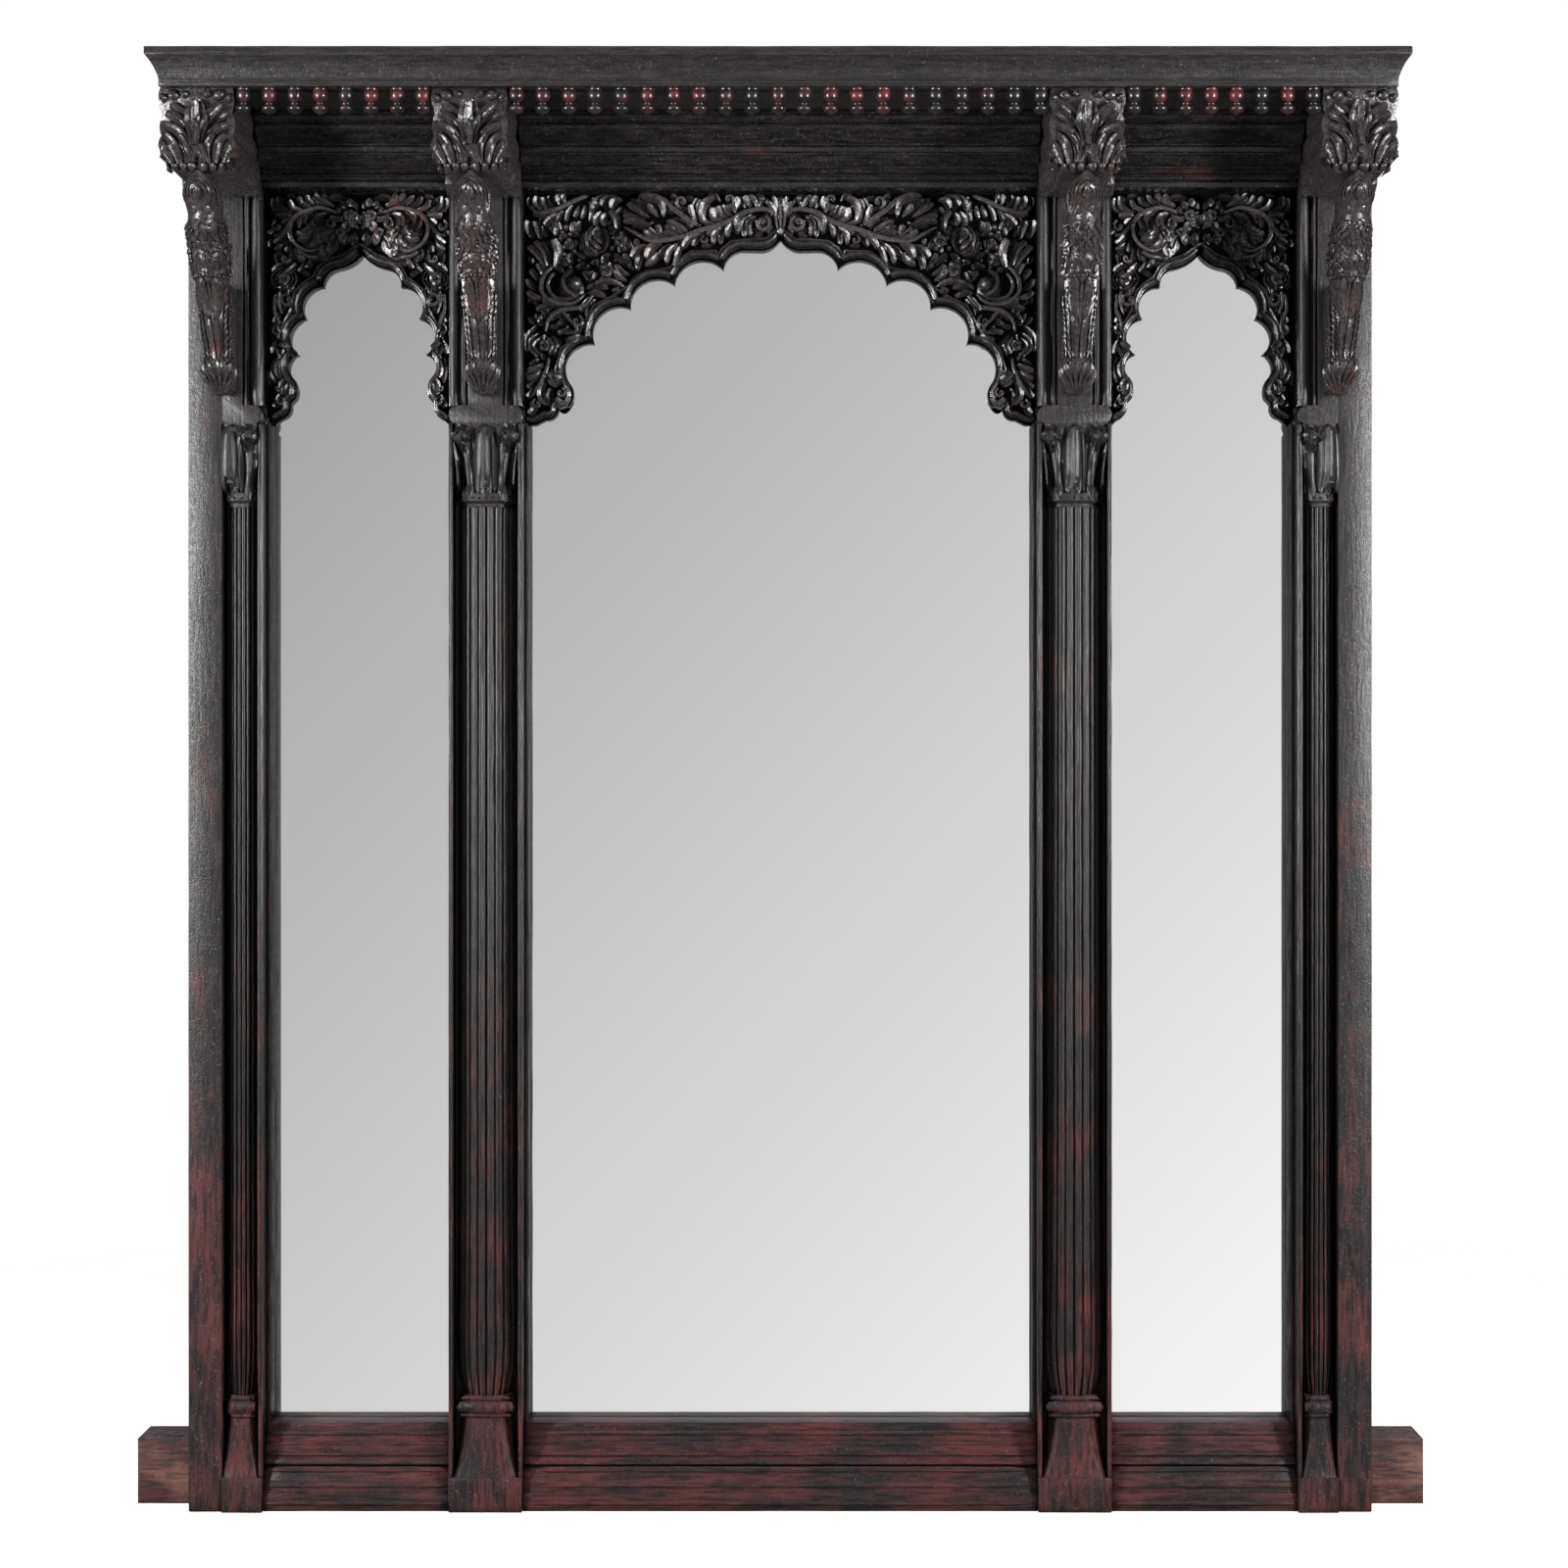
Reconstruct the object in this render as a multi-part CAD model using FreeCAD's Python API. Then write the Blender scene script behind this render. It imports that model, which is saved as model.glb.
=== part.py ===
import FreeCAD, Part
import math
import os

# A carved window front of three arches, fitted with three mirror panes. Millimetres, +Z up.
# X runs across, and y = 0 is the front face of the posts while the pieces are made, with the
# room on the -Y side. The finished pieces are moved in depth so that the origin is the middle
# of the outline's underside.

# Posts and bays, across
post_width = 94.0
centre_bay = 658.0
side_bay = 238.0
sill_horn = 75.0
inner_channel = 84.0
end_channel = 46.0
channel_lip = 5.0

# Heights, stacked from the floor
sill_height = 84.0
plinth_height = 44.0
flare_height = 73.0
collar_height = 30.0
shaft_length = 1136.0
necking_height = 28.0
capital_height = 78.0
impost_height = 23.0
bracket_height = 278.0
lintel_height = 85.0
cornice_height = 45.0
arch_rise = 296.0
sill_moulding_height = 107.0

# Depths, from the front of the posts towards the wall
post_depth = 116.0
channel_depth = 36.0
stop_depth = 30.0
glass_thickness = 4.0
board_thickness = 9.0
batten_depth = 15.0
sill_seat = 8.0

# Forward of the posts
plinth_throw = 4.0
frieze_throw = 60.0
corbel_throw = 168.0
plate_throw = 34.0
crown_setback = 150.0
crown_base = 30.0
crown_flare = 14.0
crown_overhang = 11.0
drop_setback = 165.0

# Glazing
rebate_width = 20.0
glass_lap = 12.0
board_lap = 18.0
stop_width = 4.0
glass_headroom = 5.0

# Joints
tenon_width = 36.0
tenon_thickness = 30.0
tenon_length = 50.0
mortise_relief = 1.0
peg_across = 10.0
peg_reach = 6.0
peg_sides = 8

# Pilaster, in shares of its channel's width and of its own heights
reeds = 8
groove_share = 0.34
groove_depth_share = 0.075
shaft_front = 8.0
shaft_swell_shares = [
    (0.0, 0.74), (0.012, 0.8), (0.03, 0.91), (0.06, 0.95), (0.14, 0.88), (0.3, 0.78), (1.0, 0.75),
]
flare_shares = [(0.0, 0.98, 0.06), (0.35, 0.86, 0.14), (0.7, 0.8, 0.2), (1.0, 0.79, 0.24)]
collar_shares = [(0.0, 0.79), (0.14, 0.79), (0.28, 0.91), (0.72, 0.91), (0.86, 0.79), (1.0, 0.79)]
necking_shares = [(0.0, 0.8), (0.15, 0.8), (0.28, 0.93), (0.62, 0.93), (0.75, 0.8), (1.0, 0.76)]
capital_shares = [(0.0, 0.77, 0.25), (0.5, 0.84, 0.18), (0.8, 0.92, 0.1), (1.0, 0.98, 0.06)]
petal_shares = [(0.02, 0.14), (0.4, 0.19), (0.8, 0.18), (0.97, 0.03)]
band_corner_share = 0.24
band_throw = 5
petal_rise = 6.0
flower_radius = 12.0
flower_reach = 7.0
flower_drop_share = 0.22
flower_sides = 8
# Where the petal and the flowers stand across the capital
inner_front_shares = (0.0, (-0.36, 0.36))
end_front_shares = (-0.22, (0.22,))
flower_bud_shares = [(-0.9, 0.8), (0.0, 1.0), (1.0, 0.45)]

# Bracket board and its edge mouldings
edge_round = 6.5
edge_groove = 5.0
edge_bead = 5.0
edge_depth = 8.0
edge_round_shares = [(0.0, 1.0), (0.12, 0.35), (0.35, 0.0), (0.65, 0.0), (0.88, 0.35), (1.0, 1.0)]
edge_bead_shares = [(0.0, 0.4), (0.25, 0.0), (0.75, 0.0), (1.0, 0.4), (1.1, 0.6), (1.4, 0.0)]

# Bird strut: height, how far out its middle is, half width and half depth
bird_width = 50.0
bird_foot = 8.0
bird_sides = 8
bird_shares = [
    (0.0, 0.12, 0.4, 0.06),
    (0.06, 0.15, 0.76, 0.11),
    (0.15, 0.19, 0.84, 0.13),
    (0.19, 0.2, 0.66, 0.1),
    (0.38, 0.31, 0.74, 0.13),
    (0.56, 0.45, 0.88, 0.16),
    (0.61, 0.5, 1.0, 0.19),
    (0.78, 0.65, 0.96, 0.2),
    (0.84, 0.71, 0.84, 0.19),
    (0.93, 0.78, 0.92, 0.19),
    (1.0, 0.82, 0.5, 0.11),
]
strut_width = 30.0
strut_top_share = 0.54
strut_front_shares = (0.12, 0.36)

# Corbel and its plate, with the corbel's foot a little below the lintel
corbel_width_share = 0.98
corbel_foot = 13.0
plate_height = 20.0
plate_step_share = 0.5
corbel_face_shares = [(0.9, 0.0), (1.0, 0.3), (0.95, 0.62), (1.0, 0.88), (1.0, 1.0)]
lobe_height_shares = [0.0, 0.14, 0.42, 0.7, 1.0]
lobe_waist_shares = [0.3, 0.42, 0.47, 0.46, 0.48]
lobe_swell_shares = [0.4, 0.5, 0.5, 0.5]

# Sill, frieze and crown profiles as depth and height shares
sill_profile_shares = [
    (0.1, 0.0), (0.1, 0.21), (0.2, 0.235), (0.2, 0.33), (0.3, 0.35), (0.42, 0.46), (0.62, 0.5),
    (0.46, 0.54), (0.56, 0.6), (0.66, 0.62), (0.66, 0.74), (0.76, 0.76), (0.8, 0.88), (0.92, 0.9),
    (0.97, 1.0),
]
frieze_profile_shares = [
    (0.0, 0.0), (0.0, 0.08), (0.12, 0.1), (0.12, 0.17), (0.2, 0.18), (0.44, 0.46), (0.44, 0.54),
    (0.55, 0.56), (0.82, 0.76), (0.82, 0.82), (1.0, 0.86), (1.0, 1.0),
]
crown_fillet_share = 0.2
crown_foot_share = 0.2
crown_cove_share = 0.34

# Turned drops
drop_radius = 10.0
drop_length = 32.0
drop_pitch = 31.7
drop_gap = 1.0
drop_shares = [(0.0, 0.6), (0.32, 1.0), (0.62, 0.36), (0.8, 0.76), (1.0, 0.2)]
drop_sides = 8

# Arch edges: shares of the half bay out from the middle and of the rise above the spring.
# A step of two points is an arc through the first to the second. The carving ends above the foot.
border_width = 12.0
carving_depth = 9.0
centre_cusp_shares = [
    (0.0, 0.815),
    ((0.036, 0.775), (0.079, 0.763)),
    (0.154, 0.765),
    ((0.198, 0.742), (0.226, 0.681)),
    ((0.312, 0.722), (0.418, 0.614)),
    ((0.489, 0.641), (0.591, 0.51)),
    ((0.708, 0.486), (0.733, 0.355)),
    ((0.845, 0.28), (0.832, 0.186)),
]
centre_foot_shares = [
    ((0.815, 0.137), (0.832, 0.083)),
    (0.875, 0.074),
    ((0.885, 0.04), (0.925, 0.022)),
    (0.963, 0.0),
    (1.0, 0.0),
]
side_cusp_shares = [
    (0.0, 0.745),
    ((0.102, 0.709), (0.26, 0.684)),
    ((0.383, 0.656), (0.42, 0.603)),
    ((0.64, 0.545), (0.615, 0.464)),
    ((0.775, 0.41), (0.69, 0.309)),
    ((0.8, 0.262), (0.765, 0.21)),
]
side_foot_shares = [
    ((0.709, 0.161), (0.727, 0.118)),
    (0.78, 0.094),
    ((0.81, 0.045), (0.89, 0.023)),
    (0.945, 0.0),
    (1.0, 0.0),
]
# Flower bosses left standing in the carved ground: out, up and radius
centre_boss_shares = [(0.74, 0.78, 0.058), (0.82, 0.58, 0.06), (0.06, 0.88, 0.03)]
side_boss_shares = [(0.46, 0.8, 0.1)]
boss_dome_shares = [(1.2, 1.0), (0.5, 1.0), (0.0, 0.5)]
boss_sides = 8

# How far a corner may lie off the plane of a flat face
flatness = 0.0000001

# Levels worked out from the sizes above
z_collar = plinth_height + flare_height
z_shaft = z_collar + collar_height
z_necking = z_shaft + shaft_length
z_capital = z_necking + necking_height
z_impost = z_capital + capital_height
z_bracket = z_impost + impost_height
z_lintel = z_bracket + bracket_height
z_cornice = z_lintel + lintel_height
z_top = z_cornice + cornice_height
z_spring = z_lintel - arch_rise
z_corbel = z_lintel - corbel_foot

y_glass = channel_depth + stop_depth
y_board = y_glass + glass_thickness
y_batten = y_board + board_thickness
y_sill = channel_depth + sill_seat
y_tenon = (y_glass + post_depth) / 2

half_centre = centre_bay / 2
inner_post_x = half_centre + post_width / 2
side_bay_x = half_centre + post_width + side_bay / 2
end_post_x = side_bay_x + (side_bay + post_width) / 2
span_half = end_post_x + post_width / 2
corbel_width = post_width * corbel_width_share
crown_reach = crown_base + crown_flare
cornice_half = span_half + crown_overhang - crown_reach
frame_shift = (crown_setback + crown_reach - post_depth) / 2


def vector(x, y, z):
    return FreeCAD.Vector(x, y, z)


def block(x0, x1, y0, y1, z0, z1):
    return Part.makeBox(x1 - x0, y1 - y0, z1 - z0, vector(x0, y0, z0))


def wire_of(steps, place):
    """A closed wire, where a step of two points is an arc through the first to the second."""
    edges = []
    here = steps[0]
    for step in steps[1:] + [steps[0]]:
        if isinstance(step[0], tuple):
            through, end = step
            edges.append(Part.Arc(place(*here), place(*through), place(*end)).toShape())
        else:
            end = step
            edges.append(Part.LineSegment(place(*here), place(*end)).toShape())
        here = end
    return Part.Wire(edges)


def column(steps, z0, z1):
    """A plan outline of x and y raised from z0 to z1."""
    face = Part.Face(wire_of(steps, lambda x, y: vector(x, y, z0)))
    return face.extrude(vector(0, 0, z1 - z0))


def moulding(steps, x0, x1):
    """A side profile of y and z run along from x0 to x1."""
    face = Part.Face(wire_of(steps, lambda y, z: vector(x0, y, z)))
    return face.extrude(vector(x1 - x0, 0, 0))


def panel(steps, y0, y1):
    """A front outline of x and z carried back from y0 to y1."""
    face = Part.Face(wire_of(steps, lambda x, z: vector(x, y0, z)))
    return face.extrude(vector(0, y1 - y0, 0))


def plan_ring(steps, z):
    return [vector(x, y, z) for x, y in steps]


def front_ring(steps, y):
    return [vector(x, y, z) for x, z in steps]


def flat_face(corners):
    return Part.Face(Part.makePolygon(corners + corners[:1]))


def side_faces(a, b, c, d):
    """One flat face through four corners, or two where they don't lie in a plane."""
    normal = (b - a).cross(c - a).normalize()
    if abs(normal.dot(d - a)) < flatness:
        return [flat_face([a, b, c, d])]
    return [flat_face([a, b, c]), flat_face([a, c, d])]


def skin(rings):
    """A closed solid with flat sides through rings of as many corners each."""
    faces = [flat_face(rings[0]), flat_face(rings[-1])]
    for low, high in zip(rings, rings[1:]):
        for k in range(len(low)):
            faces += side_faces(low[k - 1], low[k], high[k], high[k - 1])
    shell = Part.makeShell(faces)
    shell.sewShape()
    solid = Part.makeSolid(shell)
    if solid.Volume < 0:
        solid.reverse()
    return solid


def mirrored(shape):
    return shape.mirror(vector(0, 0, 0), vector(1, 0, 0))


def ring_steps(sides, x_radius, other_radius, x, other):
    """Corners evenly spaced round an oval."""
    turns = [2 * math.pi * (k + 0.5) / sides for k in range(sides)]
    return [(x + x_radius * math.cos(turn), other + other_radius * math.sin(turn)) for turn in turns]


# Frame

def tenon(x, z0, z1):
    half = tenon_width / 2
    return block(x - half, x + half, y_tenon - tenon_thickness / 2, y_tenon + tenon_thickness / 2, z0, z1)


def peg(x, z):
    """A whittled eight-sided peg driven in from the back, right through the tenon."""
    radius = peg_across / 2
    tip = y_tenon - tenon_thickness / 2 - peg_reach
    return panel(ring_steps(peg_sides, radius, radius, x, z), tip, post_depth)


def peg_levels():
    return (sill_height - tenon_length / 2, z_lintel + tenon_length / 2)


def post(x, channel, bay_sides):
    """One post with its channel, seats, rebates and tenons; bay_sides holds -1 or 1 per glazed side."""
    left = x - post_width / 2
    right = x + post_width / 2
    body = block(left, right, 0, post_depth, 0, z_lintel)
    body = body.cut(block(channel[0], channel[1], 0, channel_depth, plinth_height, z_impost))
    seat_left = left if len(bay_sides) == 2 else channel[0]
    body = body.cut(block(seat_left, right, 0, channel_depth, 0, plinth_height))
    body = body.cut(block(seat_left, right, 0, channel_depth, z_impost, z_lintel))
    body = body.cut(block(left, right, y_sill, post_depth, 0, sill_height))
    for side in bay_sides:
        face = x + side * post_width / 2
        ends = sorted((face, face - side * rebate_width))
        body = body.cut(block(ends[0], ends[1], y_glass, post_depth, sill_height, z_lintel))
    body = body.fuse(tenon(x, sill_height - tenon_length, sill_height))
    body = body.fuse(tenon(x, z_lintel, z_lintel + tenon_length))
    for z in peg_levels():
        body = body.cut(peg(x, z))
    return body.removeSplitter()


def post_places():
    return [side * x for side in (-1, 1) for x in (inner_post_x, end_post_x)]


def sill_beam():
    half = span_half + sill_horn
    beam = block(-half, half, y_sill, post_depth, 0, sill_height)
    for x in post_places():
        beam = beam.cut(tenon(x, sill_height - tenon_length - mortise_relief, sill_height))
        beam = beam.cut(peg(x, peg_levels()[0]))
    return beam


def lintel_beam():
    beam = block(-span_half, span_half, channel_depth, post_depth, z_lintel, z_cornice)
    for x in post_places():
        beam = beam.cut(tenon(x, z_lintel, z_lintel + tenon_length + mortise_relief))
        beam = beam.cut(peg(x, peg_levels()[1]))
    return beam


def tenon_pegs():
    return Part.makeCompound([peg(x, z) for x in post_places() for z in peg_levels()])


# Pilaster pieces

def half_octagon(x, width, front, z, corner_share):
    """The plan of a moulded band: flat at the back, its two front corners cut off."""
    half = width / 2
    cut = width * corner_share
    corners = [
        (x - half, channel_depth), (x - half, front + cut), (x - half + cut, front),
        (x + half - cut, front), (x + half, front + cut), (x + half, channel_depth),
    ]
    return plan_ring(corners, z)


def pilaster_base(channel, plinth):
    """A square plinth, a flare that turns it eight-sided, and a banded collar."""
    x = (channel[0] + channel[1]) / 2
    width = channel[1] - channel[0]
    base = block(plinth[0], plinth[1], -plinth_throw, channel_depth, 0, plinth_height)
    flare = []
    for rise, share, corner in flare_shares:
        z = plinth_height + flare_height * rise
        flare.append(half_octagon(x, width * share, shaft_front * rise, z, corner))
    collar = []
    for rise, share in collar_shares:
        front = shaft_front * (1 - (share - collar_shares[0][1]) * band_throw)
        z = z_collar + collar_height * rise
        collar.append(half_octagon(x, width * share, front, z, band_corner_share))
    return base.fuse(skin(flare)).fuse(skin(collar))


def reeded_section(x, width, z):
    """A half oval with shallow grooves between flat-topped reeds."""
    half = width / 2
    reach = channel_depth - shaft_front
    pitch = math.pi / reeds
    steps = [(x - half, channel_depth)]
    for k in range(reeds):
        start = math.pi - k * pitch
        edge = pitch * groove_share / 2
        stops = [(start - edge, 1), (start - pitch + edge, 1)]
        if k < reeds - 1:
            stops.append((start - pitch, 1 - groove_depth_share))
        for angle, size in stops:
            out = half * size * math.cos(angle)
            steps.append((x + out, channel_depth - reach * size * math.sin(angle)))
    steps.append((x + half, channel_depth))
    return plan_ring(steps, z)


def pilaster_shaft(channel):
    """A reeded shaft that swells like a bud above its collar."""
    x = (channel[0] + channel[1]) / 2
    width = channel[1] - channel[0]
    sections = []
    for rise, share in shaft_swell_shares:
        sections.append(reeded_section(x, width * share, z_shaft + shaft_length * rise))
    return skin(sections)


def petal(x, width):
    """A ridged leaf that stands on the capital's face."""
    sections = []
    for rise, share in petal_shares:
        half = width * share
        z = z_capital + capital_height * rise
        edge = petal_rise / 2
        back = channel_depth / 2
        corners = [(x - half, back), (x - half, edge), (x, -petal_rise), (x + half, edge), (x + half, back)]
        sections.append(plan_ring(corners, z))
    return skin(sections)


def flower(x):
    """A rounded bud on the capital's upper corner."""
    z = z_impost - capital_height * flower_drop_share
    sections = []
    for reach, share in flower_bud_shares:
        radius = flower_radius * share
        sections.append(front_ring(ring_steps(flower_sides, radius, radius, x, z), -flower_reach * reach))
    return skin(sections)


def capital(channel, petal_share, flower_shares):
    """Necking bands, a flared bell, the middle petal and the corner flowers."""
    x = (channel[0] + channel[1]) / 2
    width = channel[1] - channel[0]
    necking = []
    for rise, share in necking_shares:
        front = shaft_front * (1 - (share - necking_shares[-1][1]) * band_throw)
        z = z_necking + necking_height * rise
        necking.append(half_octagon(x, width * share, front, z, band_corner_share))
    bell = []
    for rise, share, corner in capital_shares:
        front = shaft_front * (1 - rise)
        bell.append(half_octagon(x, width * share, front, z_capital + capital_height * rise, corner))
    piece = skin(necking).fuse(skin(bell)).fuse(petal(x + width * petal_share, inner_channel))
    for share in flower_shares:
        piece = piece.fuse(flower(x + width * share))
    return piece.common(block(channel[0], channel[1], -post_depth, channel_depth, z_necking, z_impost))


# Brackets under the cornice

def edge_steps(face, turn):
    """The edge moulding of a bracket board: a broad round, a groove and a bead."""
    steps = [(face, channel_depth)]
    for across, sunk in edge_round_shares:
        steps.append((face + turn * 2 * edge_round * across, edge_round * sunk))
    inner = face + turn * 2 * edge_round
    bead = inner + turn * edge_groove
    steps += [(inner, edge_depth), (bead, edge_depth)]
    for across, sunk in edge_bead_shares:
        steps.append((bead + turn * edge_bead * across, edge_depth * sunk))
    return steps


def bracket_board(x0, x1, moulded_left):
    """The board behind a bird strut, and the plain impost below it with rounded shoulders."""
    right = edge_steps(x1, -1)[::-1]
    left = edge_steps(x0, 1) if moulded_left else [(x0, channel_depth), (x0, 0)]
    board = column(left + right, z_bracket, z_lintel)
    radius = impost_height / 2
    middle = z_impost + radius
    shoulder = [(x1 - radius, z_impost), ((x1, middle), (x1 - radius, z_bracket))]
    if moulded_left:
        steps = [(x0 + radius, z_bracket), ((x0, middle), (x0 + radius, z_impost))] + shoulder
    else:
        steps = [(x0, z_bracket), (x0, z_impost)] + shoulder
    return board.fuse(panel(steps, 0, channel_depth))


def bird_bracket(x):
    """A strut carved as a bird that leans out from the board to the corbel."""
    foot = z_bracket + bird_foot
    height = z_corbel - foot
    sections = []
    for rise, out, wide, deep in bird_shares:
        z = foot + height * rise
        ring = ring_steps(bird_sides, bird_width / 2 * wide, corbel_throw * deep, x, -corbel_throw * out)
        sections.append(plan_ring(ring, z))
    top = foot + height * strut_top_share
    low, high = [-corbel_throw * share for share in strut_front_shares]
    steps = [(0, foot + bird_foot), (0, top), (high, top), (low, foot + bird_foot)]
    strut = moulding(steps, x - strut_width / 2, x + strut_width / 2)
    return skin(sections).fuse(strut)


def corbel(x):
    """A leaf-shaped block under the cornice, with its moulded plate behind."""
    height = z_cornice - z_corbel
    levels = [z_corbel + height * share for share in lobe_height_shares]
    right = []
    for k, swell in enumerate(lobe_swell_shares):
        upper = (x + corbel_width * lobe_waist_shares[k + 1], levels[k + 1])
        mid = (x + corbel_width * swell, (levels[k] + levels[k + 1]) / 2)
        right.append((mid, upper))
    start = (x + corbel_width * lobe_waist_shares[0], levels[0])
    left_top = (2 * x - right[-1][1][0], levels[-1])
    left = []
    for k in range(len(lobe_swell_shares) - 1, -1, -1):
        lower = (x - corbel_width * lobe_waist_shares[k], levels[k])
        mid = (x - corbel_width * lobe_swell_shares[k], (levels[k] + levels[k + 1]) / 2)
        left.append((mid, lower))
    front = panel([start] + right + [left_top] + left, -corbel_throw, 0)
    face = [(-corbel_throw * out, z_corbel + height * rise) for out, rise in corbel_face_shares]
    side = [(0, z_corbel)] + face + [(0, z_cornice)]
    leaf = front.common(moulding(side, x - corbel_width, x + corbel_width))
    edge = post_width / 2
    plate_top = z_corbel + plate_height
    step = z_corbel + plate_height * plate_step_share
    plate = moulding([(0, z_corbel), (-plate_throw * plate_step_share, z_corbel), (-plate_throw, step),
                      (-plate_throw, plate_top), (0, plate_top)], x - edge, x + edge)
    shoulder = block(x - edge, x + edge, -plate_throw * plate_step_share, 0, plate_top, z_cornice)
    tongue = block(x - edge, x + edge, 0, channel_depth, z_lintel, z_cornice)
    return leaf.fuse(plate).fuse(shoulder).fuse(tongue).removeSplitter()


# Bays

def border_edge(steps, side):
    """The border's inner edge in straight cuts, a border's width into the wood from the cusped edge."""
    def inside(a, b, far):
        run = math.dist(a, b)
        return ((a[0] + b[0]) / 2 - side * (b[1] - a[1]) / run * far,
                (a[1] + b[1]) / 2 + side * (b[0] - a[0]) / run * far)

    here = steps[0]
    moved = [(here[0], here[1] + border_width)]
    for step in steps[1:]:
        if isinstance(step[0], tuple):
            middle, end = step
            out, up = end[0] - here[0], end[1] - here[1]
            bulge = side * (out * (middle[1] - here[1]) - up * (middle[0] - here[0])) / math.hypot(out, up)
            moved.append(inside(here, middle, border_width + bulge / 4))
            moved.append(inside(here, end, border_width + bulge))
            moved.append(inside(middle, end, border_width + bulge / 4))
            here = end
        else:
            moved.append(inside(here, step, border_width))
            here = step
    return moved


def arch_half(bay_x, half_bay, carving, side):
    """Half an arch: the cusped edge has a plain border, and the carved ground lies lower."""
    def at(out, up):
        return (bay_x + side * half_bay * out, z_spring + arch_rise * up)

    def points(shares):
        steps = []
        for step in shares:
            steps.append((at(*step[0]), at(*step[1])) if isinstance(step[0], tuple) else at(*step))
        return steps

    cusps, foot, bosses = carving
    corner = [(bay_x + side * half_bay, z_lintel), (bay_x, z_lintel)]
    board = panel(points(cusps) + points(foot) + corner, channel_depth, y_glass)
    ground = border_edge(points(cusps), side)
    ground += [(bay_x + side * half_bay, ground[-1][1])] + corner
    board = board.cut(panel(ground, channel_depth, channel_depth + carving_depth))
    for out, up, radius in bosses:
        board = board.fuse(boss(at(out, up), radius * arch_rise))
    bay = block(bay_x - half_bay, bay_x + half_bay, channel_depth, y_glass, z_spring, z_lintel)
    return board.common(bay)


def boss(place, radius):
    """A low domed flower standing in the carved ground."""
    sections = []
    for sunk, size in boss_dome_shares:
        steps = ring_steps(boss_sides, radius * size, radius * size, place[0], place[1])
        sections.append(front_ring(steps, channel_depth + carving_depth * sunk))
    return skin(sections)


def sill_moulding(x0, x1):
    """The stepped moulding between two plinths, with a lip back over the sill to the glass."""
    steps = [(share * channel_depth, rise * sill_moulding_height) for share, rise in sill_profile_shares]
    steps += [(y_glass, sill_moulding_height), (y_glass, sill_height), (y_sill, sill_height), (y_sill, 0)]
    return moulding(steps, x0, x1)


def frieze(x0, x1):
    """The stepped board that leans out between two corbels."""
    steps = []
    for share, rise in frieze_profile_shares:
        steps.append((-share * frieze_throw, z_lintel + rise * lintel_height))
    steps += [(channel_depth, z_cornice), (channel_depth, z_lintel)]
    return moulding(steps, x0, x1)


def pane_stops(x0, x1):
    """Two thin strips along the posts, in front of the glass."""
    pieces = []
    low = sill_moulding_height
    for start in (x0, x1 - stop_width):
        pieces.append(block(start, start + stop_width, channel_depth, y_glass, low, z_spring))
    return Part.makeCompound(pieces)


def mirror_pane(x0, x1):
    return block(x0 - glass_lap, x1 + glass_lap, y_glass, y_board, sill_height, z_lintel - glass_headroom)


def backing_board(x0, x1):
    return block(x0 - board_lap, x1 + board_lap, y_board, y_batten, sill_height, z_lintel)


def rebate_battens(bays):
    """Upright battens wedged in the rebates behind the backing boards."""
    pieces = []
    for x0, x1 in bays:
        for outer, inner in ((x0 - rebate_width, x0), (x1, x1 + rebate_width)):
            pieces.append(block(outer, inner, y_batten, y_batten + batten_depth, sill_height, z_lintel))
    return Part.makeCompound(pieces)


# Cornice

def cornice_board():
    top = z_top - cornice_height * crown_fillet_share
    return block(-cornice_half, cornice_half, -crown_setback, post_depth, z_cornice, top)


def crown_steps(outward):
    """The crown profile from the board's edge outwards, as distance and height."""
    foot = z_cornice + cornice_height * crown_foot_share
    nose = z_top - cornice_height * crown_fillet_share
    middle = ((crown_base + crown_flare * crown_cove_share), (foot + nose) / 2)
    steps = [(0, z_cornice), (crown_base, z_cornice), (crown_base, foot), (middle, (crown_reach, nose)),
             (crown_reach, z_top), (0, z_top)]
    placed = []
    for step in steps:
        placed.append(tuple(outward(*p) for p in step) if isinstance(step[0], tuple) else outward(*step))
    return placed


def crown_front():
    """The front length of the crown, mitred at both ends."""
    front = -crown_setback
    tip = cornice_half + crown_reach
    run = moulding(crown_steps(lambda d, z: (front - d, z)), -tip, tip)
    nose = front - crown_reach
    cuts = [(-cornice_half, front), (-tip, nose), (tip, nose), (cornice_half, front)]
    return run.common(column(cuts, z_cornice, z_top))


def crown_return():
    """The left end of the crown, mitred to the front length."""
    front = -crown_setback
    tip = -cornice_half - crown_reach
    nose = front - crown_reach
    run = panel(crown_steps(lambda d, z: (-cornice_half - d, z)), nose, post_depth)
    cuts = [(-cornice_half, front), (tip, nose), (tip, post_depth), (-cornice_half, post_depth)]
    return run.common(column(cuts, z_cornice, z_top))


def turned_drop(x):
    """One turned drop that hangs from the cornice: a bulb, a neck and a dish with a blunt point."""
    rings = []
    for fall, share in drop_shares:
        radius = drop_radius * share
        steps = ring_steps(drop_sides, radius, radius, x, -drop_setback)
        rings.append(plan_ring(steps, z_cornice - drop_length * fall))
    return skin(rings)


def pendant_drops(x0, x1):
    """As many drops as the room between two corbels takes, evenly spaced."""
    beside = (post_width - corbel_width) / 2
    room = x1 - x0 + 2 * beside
    count = round(room / drop_pitch)
    first = x0 - beside + drop_gap + drop_radius
    step = (room - 2 * (drop_gap + drop_radius)) / (count - 1)
    return Part.makeCompound([turned_drop(first + step * k) for k in range(count)])


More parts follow.
